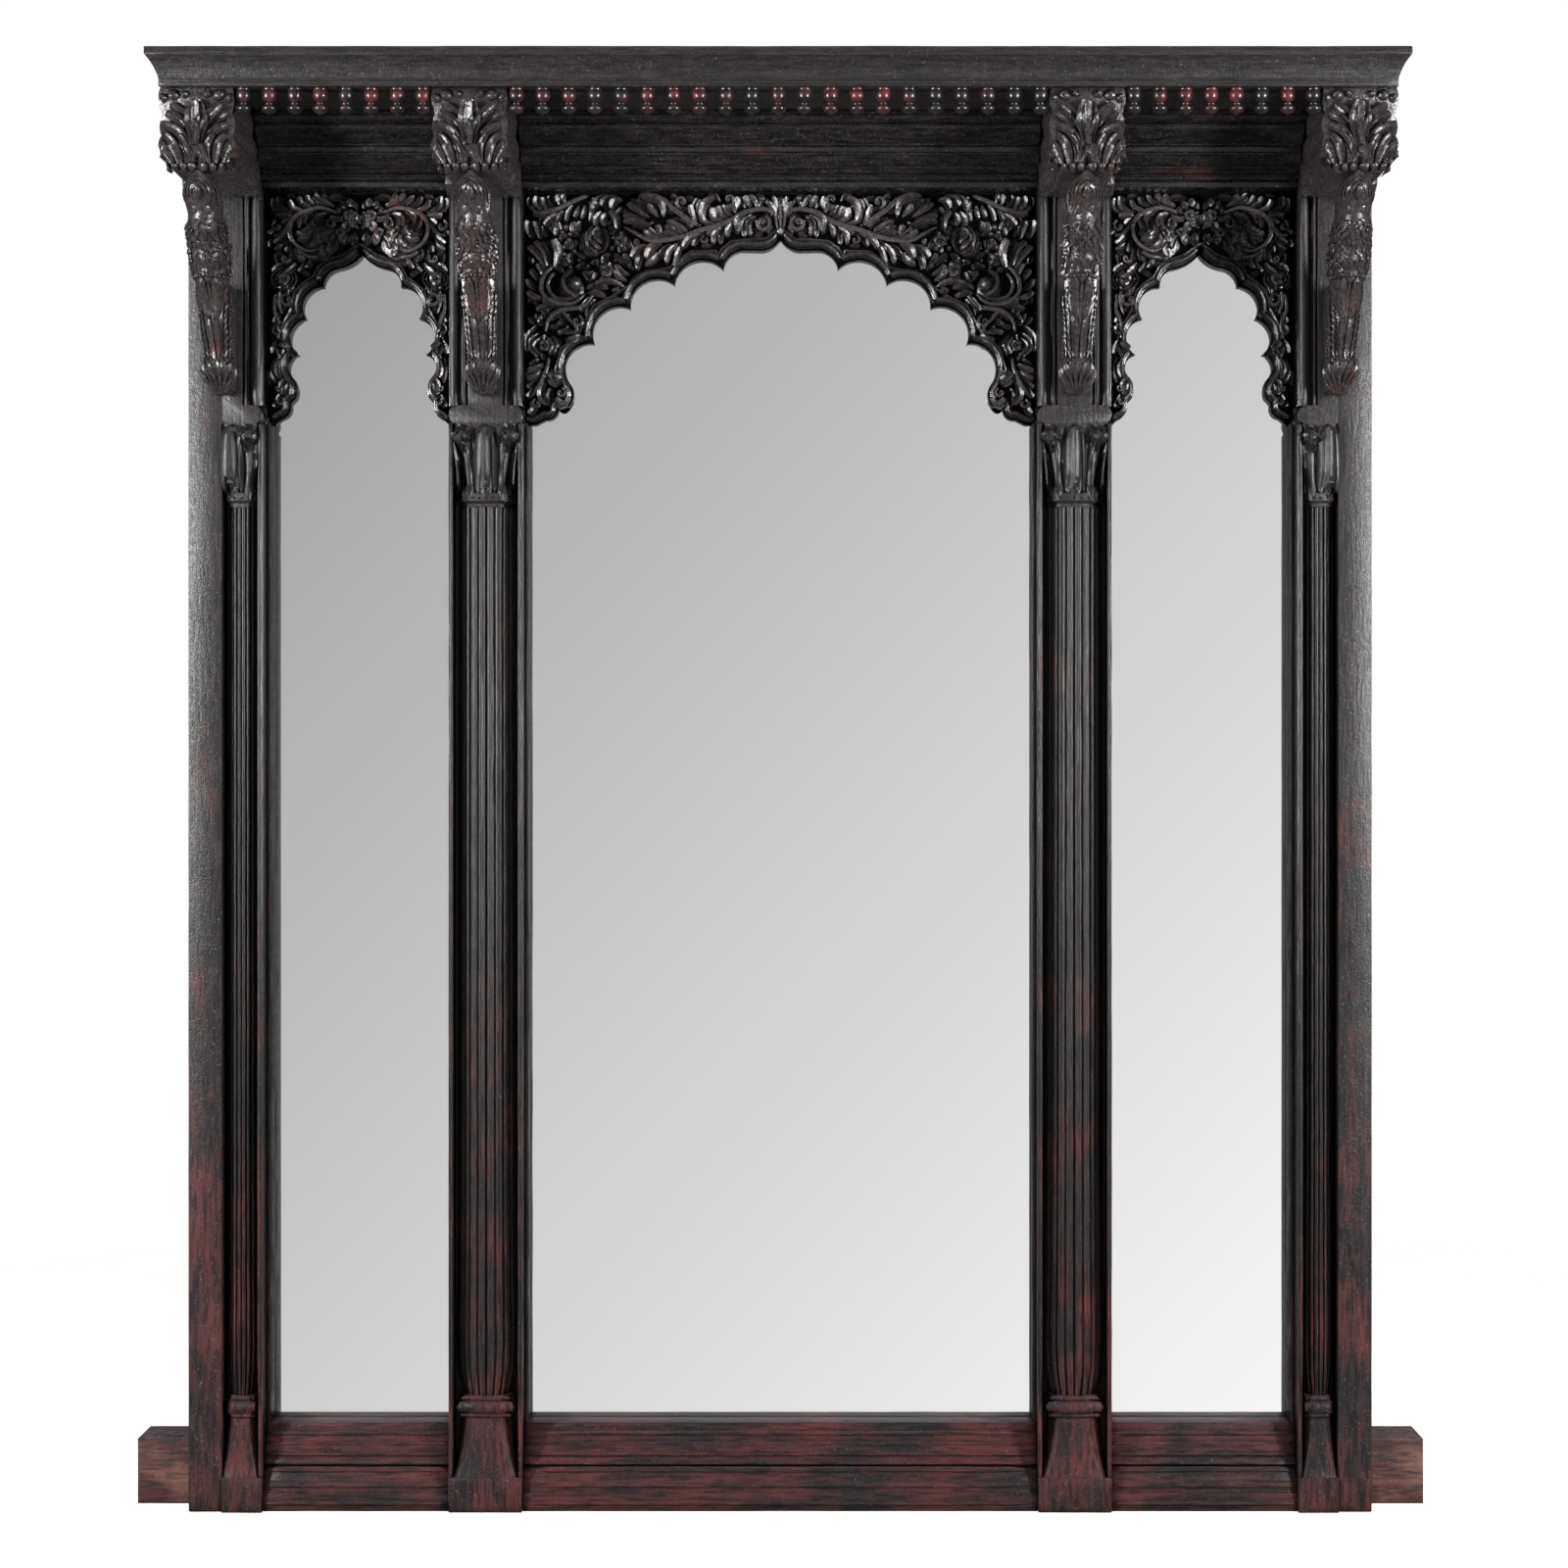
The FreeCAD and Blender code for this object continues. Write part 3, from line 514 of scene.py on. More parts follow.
def ring(bm, at, radii, thickness, rise, surface):
    """A raised round or oval moulding."""
    shape = bmesh.new()
    bmesh.ops.create_circle(shape, segments=8, radius=1, matrix=Matrix.Rotation(math.radians(90), 4, "X"))
    for vert in shape.verts:
        vert.co = (1 + vert.co.x * thickness / radii[0] / 2, 0, vert.co.z)
    bmesh.ops.spin(shape, geom=shape.verts[:] + shape.edges[:], cent=(0, 0, 0), axis=(0, 0, 1),
                   angle=2 * math.pi, steps=20, use_merge=True)
    for vert in shape.verts:
        height = rise * max(vert.co.z, -0.15)
        vert.co = surface(at[0] + radii[0] * vert.co.x, at[1] + radii[1] * vert.co.y, height)
    place_shape(bm, shape)


def rosette(bm, at, radius, petals, rise, surface):
    """Hollowed petals round a bead."""
    for heading in (360 * k / petals for k in range(petals)):
        petal = trace(off(at, radius * 0.12, heading), heading, radius * 0.9, steps=6)
        stroke(bm, petal, radius * 5.6 / petals, (rise * 0.7, rise, rise * 0.8), surface, belly=1.8,
               blunt=0.45)
    bead(bm, at, radius * 0.28, rise * 1.35, surface)


def scroll(bm, centre, radius, start, turns, hand, rise, surface):
    """A stem that winds in to a bead."""
    steps = max(12, round(20 * turns))
    points = []
    for share in (k / steps for k in range(steps + 1)):
        size = radius * (1 - 0.62 * share ** 0.8) - radius * 0.14
        points.append(off(centre, size, start + hand * 360 * turns * share))
    stroke(bm, points, radius * 0.34 + 1.2 * MM, (rise * 0.8, rise * 1.1, rise), surface, hollow=0.45,
           belly=0.75, blunt=0.3)
    bead(bm, centre, radius * 0.3, rise * 1.2, surface)


# The carving in half of an arch, in millimetres out from the bay's middle and down from the lintel. A stem or
# finger is a width and then its places. Stems keep their width, and fingers are hollow leaves.
CENTRE_STEMS = [
    (7, 5, 28, 20, 20, 45, 24, 62, 34, 82, 42, 105, 48, 130, 57, 165, 61, 188, 50, 204, 42),
    (7, 104, 42, 124, 30, 141, 17, 153, 3), (6, 246, 2, 268, 11, 290, 21, 308, 20),
    (6, 292, 92, 306, 108, 307, 128, 290, 141, 266, 141, 251, 127),
    (5, 290, 101, 300, 116, 292, 133, 270, 136, 256, 124),
    (6, 240, 128, 256, 146, 282, 150, 299, 163, 303, 180), (5, 298, 210, 302, 230, 314, 252, 324, 264),
    (6, 267, 98, 279, 108, 277, 124, 263, 134), (5, 286, 146, 276, 158, 262, 176, 280, 182),
]
CENTRE_FINGERS = [
    (8, 1, 54, 3, 30, 1, 2), (6, 5, 31, 9, 20, 17, 10), (6, 6, 38, 12, 27, 21, 21),
    (5, 4, 24, 6, 12, 10, 3), (7, 30, 28, 41, 38, 38, 56), (7, 35, 26, 47, 37, 46, 57),
    (7, 42, 25, 55, 34, 54, 52), (7, 15, 16, 22, 7, 33, 4), (6, 29, 18, 34, 8, 42, 3),
    (6, 37, 18, 43, 10, 47, 2), (6, 45, 20, 50, 11, 54, 3), (7, 56, 25, 62, 19, 72, 20),
    (7, 60, 29, 70, 25, 76, 13), (7, 66, 32, 77, 28, 82, 14), (7, 72, 36, 86, 32, 87, 16),
    (7, 82, 37, 94, 28, 90, 13), (8, 78, 41, 99, 35, 98, 13, 83, 5), (6, 96, 38, 105, 22, 100, 5),
    (6, 102, 40, 111, 22, 106, 3), (6, 108, 38, 114, 25, 117, 13), (6, 77, 11, 84, 3, 93, 3),
    (6, 57, 22, 55, 12, 58, 3), (6, 112, 44, 118, 36, 129, 32), (6, 114, 47, 126, 38, 141, 32),
    (6, 118, 50, 132, 42, 148, 35), (6, 122, 53, 137, 47, 151, 42), (6, 128, 56, 140, 53, 153, 49),
    (6, 60, 36, 67, 46, 69, 57), (7, 66, 40, 76, 50, 77, 66), (6, 73, 43, 85, 52, 86, 67),
    (6, 80, 46, 89, 50, 96, 52), (7, 92, 48, 106, 56, 114, 69), (7, 100, 50, 117, 58, 127, 72),
    (7, 110, 54, 127, 63, 136, 78), (6, 120, 58, 131, 74, 137, 97), (6, 132, 63, 143, 75, 147, 92),
    (6, 140, 64, 152, 74, 158, 88), (10, 150, 31, 156, 9, 185, 4), (7, 158, 27, 168, 11, 189, 11),
    (6, 164, 29, 178, 17, 195, 6), (6, 168, 31, 186, 21, 199, 12), (6, 172, 33, 190, 26, 204, 20),
    (6, 174, 36, 192, 30, 205, 29), (6, 170, 38, 188, 36, 205, 37), (6, 162, 36, 176, 42, 194, 41),
    (6, 156, 31, 165, 22, 171, 13), (7, 154, 53, 156, 46, 160, 39), (6, 140, 58, 160, 54, 171, 42),
    (6, 150, 59, 167, 56, 178, 46), (12, 160, 65, 184, 60, 205, 47), (10, 152, 64, 166, 70, 173, 86),
    (8, 168, 66, 184, 72, 193, 84), (8, 172, 72, 182, 84, 184, 98), (7, 158, 74, 163, 86, 175, 93),
    (7, 186, 99, 202, 88, 216, 77), (7, 194, 105, 206, 100, 213, 90), (7, 197, 113, 208, 107, 214, 96),
    (6, 190, 93, 197, 86, 202, 75), (8, 203, 8, 214, 10, 218, 22), (8, 210, 3, 224, 7, 232, 17),
    (8, 221, 1, 235, 8, 242, 23), (8, 211, 48, 212, 32, 221, 21), (7, 204, 29, 210, 38, 211, 48),
    (7, 221, 24, 228, 32, 226, 43), (7, 230, 22, 237, 32, 238, 43), (5, 252, 13, 253, 23, 256, 33),
    (5, 259, 15, 262, 24, 266, 32), (5, 266, 13, 273, 23, 277, 37), (5, 247, 8, 243, 22, 246, 38),
    (5, 241, 40, 249, 56, 247, 70, 252, 80), (5, 251, 45, 256, 60, 252, 78), (5, 229, 43, 223, 57, 227, 74),
    (20, 232, 41, 235, 58, 236, 78), (5, 277, 14, 280, 6, 278, 0), (5, 284, 16, 287, 8, 286, 1),
    (7, 291, 20, 296, 9, 297, 1), (8, 298, 23, 303, 12, 306, 3), (7, 305, 23, 314, 13, 313, 2),
    (7, 309, 25, 322, 14, 322, 3), (7, 292, 24, 306, 27, 321, 26), (6, 300, 23, 312, 21, 325, 17),
    (6, 286, 22, 299, 30, 313, 36), (6, 286, 26, 297, 33, 305, 43), (6, 278, 20, 285, 28, 287, 37),
    (8, 309, 60, 312, 46, 317, 33), (8, 321, 58, 325, 44, 324, 33), (7, 301, 56, 306, 46, 304, 37),
    (9, 292, 99, 286, 76, 294, 56), (8, 296, 99, 293, 76, 307, 59), (7, 299, 96, 305, 73, 319, 60),
    (7, 300, 99, 312, 80, 327, 66), (7, 303, 101, 314, 90, 327, 81), (7, 305, 107, 308, 98, 314, 89),
    (7, 309, 115, 316, 106, 323, 96), (7, 309, 125, 321, 119, 327, 108), (7, 305, 135, 318, 133, 327, 125),
    (7, 300, 143, 314, 137, 328, 139), (7, 251, 124, 240, 119, 221, 122), (7, 250, 130, 238, 128, 224, 134),
    (6, 249, 117, 241, 111, 237, 100), (7, 200, 121, 220, 113, 241, 118), (6, 213, 110, 222, 107, 234, 112),
    (6, 240, 100, 248, 104, 256, 101), (7, 243, 131, 250, 142, 259, 153), (7, 237, 134, 245, 147, 250, 160),
    (7, 266, 147, 284, 152, 299, 164), (7, 281, 145, 300, 145, 317, 151), (7, 288, 150, 303, 156, 313, 168),
    (8, 268, 142, 292, 140, 310, 137), (7, 272, 154, 277, 164, 290, 170), (6, 262, 182, 275, 177, 289, 181),
    (6, 256, 182, 266, 188, 278, 190), (6, 297, 180, 285, 194, 293, 211), (5, 302, 183, 292, 196, 299, 208),
    (6, 310, 178, 324, 194, 311, 211), (5, 307, 184, 317, 196, 309, 207), (6, 313, 168, 327, 186, 327, 205),
    (6, 318, 208, 312, 214, 326, 222), (5, 282, 240, 290, 247, 300, 239), (5, 283, 234, 291, 240, 299, 231),
    (5, 285, 228, 291, 233, 298, 224), (7, 303, 219, 315, 226, 328, 229), (7, 303, 226, 315, 236, 328, 240),
    (7, 305, 234, 316, 245, 328, 251), (9, 303, 240, 309, 258, 300, 273), (9, 295, 248, 298, 262, 292, 277),
    (7, 308, 244, 318, 255, 327, 264), (5, 270, 262, 280, 270, 291, 262), (5, 273, 267, 282, 274, 290, 270),
    (7, 322, 266, 318, 278, 326, 286), (5, 226, 68, 234, 60, 242, 55), (5, 226, 60, 233, 53, 240, 48),
    (5, 229, 75, 237, 68, 244, 63),
]
# Scrolls: a place, a radius, the degrees where it starts, its turns and which way it winds
CENTRE_SCROLLS = [
    (23, 40, 13, 100, 1.2, 1), (66, 8, 9, -90, 1.0, -1), (127, 11, 10, -100, 1.1, 1),
    (97, 60, 7, 90, 1.0, -1), (262, 165, 10, 90, 1.1, 1), (314, 271, 8, 90, 1.1, -1),
    (283, 257, 8, 90, 1.1, 1),
]
# Flowers: a place, a radius and a number of petals. Beads: a place and a radius
CENTRE_FLOWERS = [(224, 98, 10, 5), (304, 196, 8, 5), (206, 61, 9, 6)]
CENTRE_BEADS = [
    (206, 51, 4.5), (202, 70, 5), (216, 57, 4), (218, 70, 4), (276, 43, 5), (271, 52, 4), (281, 50, 4),
    (272, 60, 4.5), (284, 58, 4), (280, 69, 5), (279, 78, 4), (266, 74, 4.5), (260, 86, 3.2),
    (271, 95, 3.6), (248, 93, 3), (245, 22, 4), (104, 41, 3), (265, 117, 10), (275, 172, 4), (290, 236, 8),
    (195, 92, 4.5), (213, 86, 3), (24, 6, 6), (138, 44, 5),
]
SIDE_STEMS = [
    (6, 28, 26, 45, 19, 62, 20, 79, 27, 88, 40, 88, 56, 80, 68, 64, 76, 50, 72),
    (6, 80, 27, 92, 42, 101, 53, 113, 54), (5, 103, 124, 105, 140, 99, 157),
    (5, 108, 126, 110, 150, 103, 170, 108, 190), (5, 78, 74, 66, 82, 50, 84),
]
SIDE_FINGERS = [
    (5, 1, 46, 8, 39, 7, 30), (5, 2, 23, 11, 31, 9, 46), (5, 0, 40, 3, 33, 1, 26),
    (7, 11, 18, 12, 12, 16, 8), (7, 20, 21, 21, 15, 26, 12), (6, 23, 27, 27, 22, 31, 18),
    (8, 12, 37, 18, 42, 16, 50), (8, 10, 68, 7, 59, 11, 51), (8, 18, 67, 22, 59, 17, 51),
    (6, 20, 36, 30, 33, 40, 31), (7, 15, 8, 28, 5, 41, 6), (6, 32, 17, 43, 12, 51, 7),
    (6, 40, 16, 53, 12, 63, 5), (6, 37, 9, 44, 6, 48, 0), (6, 48, 11, 54, 6, 59, 0),
    (6, 54, 22, 62, 28, 62, 38), (6, 58, 20, 69, 28, 71, 40), (6, 64, 21, 77, 31, 77, 46),
    (6, 32, 29, 43, 24, 50, 32, 51, 43), (6, 40, 26, 53, 30, 56, 44), (6, 48, 44, 41, 58, 51, 72, 66, 77),
    (6, 51, 49, 46, 61, 56, 71, 71, 73), (6, 55, 53, 53, 64, 62, 72), (6, 57, 58, 64, 68, 77, 68, 84, 56),
    (6, 60, 55, 68, 62, 80, 59), (5, 61, 41, 60, 50, 67, 57), (6, 66, 54, 74, 55, 82, 50),
    (6, 72, 22, 86, 18, 91, 7), (7, 82, 26, 96, 18, 98, 3), (7, 84, 27, 102, 18, 104, 1),
    (7, 86, 28, 109, 20, 110, 3), (6, 88, 29, 104, 26, 112, 20), (7, 84, 30, 98, 29, 108, 30),
    (7, 62, 17, 75, 12, 80, 2), (6, 58, 15, 66, 8, 68, 1), (6, 86, 32, 94, 36, 99, 41),
    (6, 88, 44, 90, 56, 97, 65), (6, 92, 46, 98, 56, 106, 62), (6, 90, 54, 91, 66, 95, 77),
    (6, 93, 56, 100, 68, 112, 73), (6, 92, 50, 103, 60, 111, 66), (6, 83, 66, 86, 76, 83, 86),
    (6, 78, 68, 79, 77, 76, 88), (6, 72, 71, 74, 80, 72, 90), (6, 69, 88, 74, 95, 80, 102),
    (6, 82, 88, 88, 98, 97, 104), (6, 84, 96, 96, 101, 107, 109), (6, 62, 82, 64, 90, 70, 97),
    (6, 44, 66, 47, 74, 42, 82), (6, 30, 54, 36, 62, 38, 72), (6, 34, 50, 42, 56, 40, 66),
    (6, 99, 90, 106, 94, 113, 102), (5, 99, 182, 103, 173, 99, 165), (5, 103, 186, 110, 177, 105, 167),
    (6, 97, 187, 104, 197, 103, 210), (6, 106, 187, 110, 197, 113, 208), (5, 101, 211, 106, 225, 103, 240),
    (5, 108, 209, 111, 230, 107, 246), (6, 97, 238, 101, 246, 98, 258), (6, 92, 243, 95, 252, 102, 260),
    (7, 103, 256, 106, 268, 112, 276), (7, 90, 198, 97, 196, 104, 190), (6, 84, 152, 92, 150, 99, 146),
    (6, 112, 150, 106, 158, 112, 168),
]
SIDE_SCROLLS = [
    (36, 39, 8.5, 90, 1.1, -1), (106, 42, 9, 90, 1.0, -1), (96, 84, 8.5, 120, 1.0, 1),
    (93, 137, 12, 60, 0.95, -1), (105, 251, 7, 90, 1.0, 1), (103, 268, 7, 90, 1.0, 1),
]
SIDE_FLOWERS = [(14, 28, 8, 5), (25, 50, 7, 6), (98, 110, 9, 6)]
SIDE_BEADS = [
    (14, 13, 4.5), (22, 17, 4.5), (27, 22, 4), (24, 31, 3.6), (68, 50, 3.6), (50, 46, 3.6), (96, 84, 4.5),
    (92, 137, 5.5), (86, 110, 2.5), (109, 111, 2.5),
]
# Rings: a place, then a radius across and one up
SIDE_RINGS = [(98, 110, 16, 14), (98, 110, 11.5, 9.5)]


def opening_runs(arch, bay_x, side):
    """The opening's front edge on the chart, from the apex to the foot, whole and split at the cusps."""
    low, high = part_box("arch_" + arch)
    bm = joined_up("arch_" + arch)
    joined = {}
    for edge in opening_edges(bm, low, high):
        ends = [(side * (vert.co.x - bay_x), vert.co.z - high.z) for vert in edge.verts]
        for a, b in (ends, ends[::-1]):
            joined.setdefault(a, []).append(b)
    bm.free()
    here = min((place for place in joined if len(joined[place]) == 1), key=lambda place: abs(place[0]))
    path, before = [here], None
    while onward := [place for place in joined[here] if place != before]:
        before, here = here, onward[0]
        path.append(here)
    runs = [[path[0]]]
    for a, b, c in zip(path, path[1:], path[2:]):
        runs[-1].append(b)
        first, then = Vector(b) - Vector(a), Vector(c) - Vector(b)
        if first.length and then.length and math.degrees(first.angle_signed(then)) < -40:
            runs.append([b])
    runs[-1].append(path[-1])
    return path, runs


def border_roll(bm, path, runs, surface, inset, width, rise):
    """A rounded moulding beside the opening. Each run of it stops where the next one begins, in a cusp."""
    spans = [(Vector(a), Vector(b) - Vector(a)) for a, b in zip(path, path[1:])]

    def clear(point):
        """Whether a point is about as far from the whole opening as the moulding's inset."""
        gaps = []
        for a, span in spans:
            share = min(max((point - a).dot(span) / max(span.length_squared, 1e-12), 0), 1)
            gaps.append((point - a - span * share).length)
        return min(gaps) > inset * 0.96

    for run in (run for run in runs if len(run) > 2):
        route = [Vector(place) for place in through(run, 5)]
        kept = []
        for before, here, after in zip(route[:1] + route, route, route[1:] + route[-1:]):
            onward = (after - before).normalized()
            point = here + Vector((-onward.y, onward.x)) * inset
            if clear(point):
                kept.append(tuple(point))
        if len(kept) > 3:
            stroke(bm, kept, width, (rise, rise, rise), surface, hollow=0, belly=1, blunt=0.1, sunk=12 * MM)


def fill_ground(bm, drawn, bare, on, wide, rise):
    """Low leaves that spring from the drawn ones, wherever they leave the ground bare."""
    tree = KDTree(len(drawn))
    for k, (out, up) in enumerate(drawn):
        tree.insert((out, up, 0), k)
    tree.balance()
    cell, tall = 7 * MM, 290 * MM
    for i in range(int(wide / cell)):
        for j in range(int(tall / cell)):
            stray = noise.noise_vector(Vector((i * 1.7, j * 2.3, 5))) * cell * 0.8
            middle = Vector(((i + 0.5) * cell + stray.x, -(j + 0.5) * cell + stray.y))
            nearest, _, gap = tree.find((middle.x, middle.y, 0))
            if gap < 4.5 * MM:
                continue
            away = (middle - nearest.xy).normalized()
            turn = 60 * stray.z / cell
            root = middle - away * min(gap, 8 * MM) * 0.7
            heading = math.degrees(math.atan2(away.y, away.x)) + turn * 0.5
            route = trace(root, heading, 15 * MM, turn, -turn, steps=6)
            if all(bare(*place) for place in route[::2]):
                stroke(bm, route, 8 * MM, (rise * 0.7, rise, rise * 0.8), on(route), hollow=0.75, belly=1.3)


def carve_arch(arch, bay_x, side, stems, fingers, scrolls, flowers, beads, rings=()):
    """Foliage in the sunk ground of half an arch."""
    low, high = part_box("arch_" + arch)
    rise = bpy.context.scene.window_sizes.finger_rise
    face = face_of("timber_arch_" + arch, low.y - AHEAD)
    bm = bmesh.new()

    def sounding(out, up):
        """How far behind the arch's front the timber lies at a place on the chart."""
        y = face(bay_x + side * out, high.z + up)
        return 1 if y is None else y - low.y

    def bare(out, up):
        return 6 * MM < sounding(out, up) < 10 * MM

    def depth(out, up):
        """Where the timber's face lies at a place, or a little further out if that is the opening."""
        found = (sounding(out + shift * MM, up) for shift in (0, 4, 8, 12, 16))
        return low.y + next((deep for deep in found if deep < 10 * MM), GROUND)

    def on(points):
        """A surface that follows the timber from the first to the last of the points."""
        first, last = Vector(points[0]), Vector(points[-1])
        start, middle, end = (depth(*points[k]) for k in (0, len(points) // 2, -1))
        span = max((last - first).length_squared, 1e-8)

        def surface(out, up, height):
            share = min(max((Vector((out, up)) - first).dot(last - first) / span, 0), 1)
            back = start * (1 - share) + end * share + (middle - (start + end) / 2) * 4 * share * (1 - share)
            waver = noise.noise(Vector((out, up, side)) / 0.015) * 0.8 * MM if height > 0 else 0
            return (bay_x + side * out, back - height - waver, high.z + up)

        return surface

    def flat(out, up, height):
        """The level that the border rises from, since the timber's lip slopes away under it."""
        return (bay_x + side * out, low.y + 8 * MM - height, high.z + up)

    drawn = [(x * MM, -y * MM) for x, y, *_ in scrolls + flowers + beads]
    for width, *places in stems:
        route = route_of(places, rise=-1)
        drawn.extend(route)
        stroke(bm, route, width * MM, (rise, rise * 1.2, rise * 0.9), on(route), hollow=0.4, belly=0.75,
               blunt=0.3)
    for k, (width, *places) in enumerate(fingers):
        route = route_of(places, rise=-1)
        drawn.extend(route)
        lift = rise * (1 + 0.28 * math.sin(k * 2.4))
        stroke(bm, route, width * 1.4 * MM, (lift * 0.6, lift, lift * 0.95), on(route), hollow=0.75,
               belly=1.35)
    for shape, lift, rows in ((scroll, 1.1, scrolls), (rosette, 1.15, flowers), (bead, 1.1, beads)):
        for out, down, radius, *rest in rows:
            at = (out * MM, -down * MM)
            shape(bm, at, radius * MM, *rest, rise * lift, on([at, at]))
    for out, down, wide, tall in rings:
        at = (out * MM, -down * MM)
        ring(bm, at, (wide * MM, tall * MM), 4 * MM, rise, on([at, at]))
    fill_ground(bm, drawn, bare, on, (high - low).x, rise * 0.8)
    border_roll(bm, *opening_runs(arch, bay_x, side), flat, 6.4 * MM, 9 * MM, 6 * MM)
    finish_piece(bm, "foliage_" + arch, "pierced")


# The leaf on the right half of a corbel: a width, then places right of its middle and above its foot
CORBEL_FINGERS = [
    (8, 14, 3, 11, 20, 14, 32, 20, 43), (10, 19, 2, 22, 18, 27, 32, 36, 43),
    (9, 28, 4, 32, 16, 38, 27, 45, 34), (7, 33, 8, 37, 14, 41, 18, 46, 21),
    (11, 6, 16, 12, 34, 22, 47, 38, 54), (11, 4, 26, 10, 44, 20, 60, 37, 69),
    (11, 3, 36, 6, 52, 15, 67, 31, 79), (11, 2, 14, 2, 38, 6, 60, 1, 85), (4, 0, 26, 0, 46, 0, 62, 0, 80),
    (8, 5, 4, 6, 12, 4, 22, 3, 30),
]
# Buds along the leaf's top, and along its foot, in the same millimetres, with a radius last
CORBEL_BUDS = [(27, 90, 7.5), (13, 91, 5), (40, 86, 6)]
CORBEL_FOOT = [
    (-37, 5, 4), (-27, 5, 5), (-16, 5, 5.5), (-6, 5, 6), (5.5, 5, 6.5), (17, 5, 5.5), (28, 5, 5),
    (37, 5, 4),
]


def carve_corbel(post, centre):
    """The leaf on a corbel's front and sides."""
    low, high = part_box("corbel_" + post)
    face = face_of("timber_corbel_" + post, low.y - AHEAD)
    corner = 40 * MM
    bm = bmesh.new()

    def surface(out, up, height):
        """Past its front corners the leaf turns back along the block's sides."""
        beyond = max(0.0, abs(out) - corner)
        side = 1 if out > 0 else -1
        x = centre + side * min(abs(out), corner)
        z = min(low.z + up, high.z - 1 * MM)
        y = face(x, max(z, low.z + 4 * MM))
        front = low.y + 30 * MM if y is None or y >= low.y + 60 * MM else y
        return (x + side * (beyond + height * 0.3), front + beyond * 2.5 - height, z)

    rise = 6.5 * MM
    for side in (-1, 1):
        for k, (width, *places) in enumerate(CORBEL_FINGERS):
            lift = rise * (1 + 0.2 * math.sin(k * 2.1 + side))
            stroke(bm, route_of(places, side), width * 1.35 * MM, (lift * 0.7, lift * 1.1, lift * 1.4),
                   surface, hollow=0.7, blunt=0.36, sides=14)
        for x, y, size in CORBEL_BUDS:
            bead(bm, (side * x * MM, y * MM), size * MM, 6 * MM, surface, sides=12)
            stroke(bm, trace(((side * x - 3) * MM, (y - 3) * MM), 80, 8 * MM, -60), 3.5 * MM,
                   (6 * MM, 8 * MM, 6 * MM), surface)
    for x, y, size in CORBEL_FOOT:
        bead(bm, (x * MM, y * MM), size * MM, 9 * MM, surface, sides=12)
    finish_piece(bm, "leaf_" + post, "carved")


# A bird strut from foot to crown: a share of its height, then how far out it leans, its half width and
# its half depth in millimetres
BIRD_OUT = [(0, 20), (0.15, 32), (0.38, 52), (0.56, 76), (0.61, 84), (0.78, 109), (0.93, 131), (1, 138)]
BIRD_WIDE = [
    (0, 9), (0.03, 16), (0.1, 21), (0.15, 20), (0.19, 17), (0.3, 18), (0.45, 20), (0.54, 21), (0.57, 24),
    (0.68, 25), (0.78, 23), (0.82, 21), (0.9, 23.5), (0.96, 19), (1, 9),
]
BIRD_DEEP = [
    (0, 10), (0.06, 18), (0.15, 22), (0.19, 18), (0.4, 24), (0.56, 30), (0.61, 33), (0.78, 34), (0.84, 31),
    (0.93, 32), (1, 18),
]


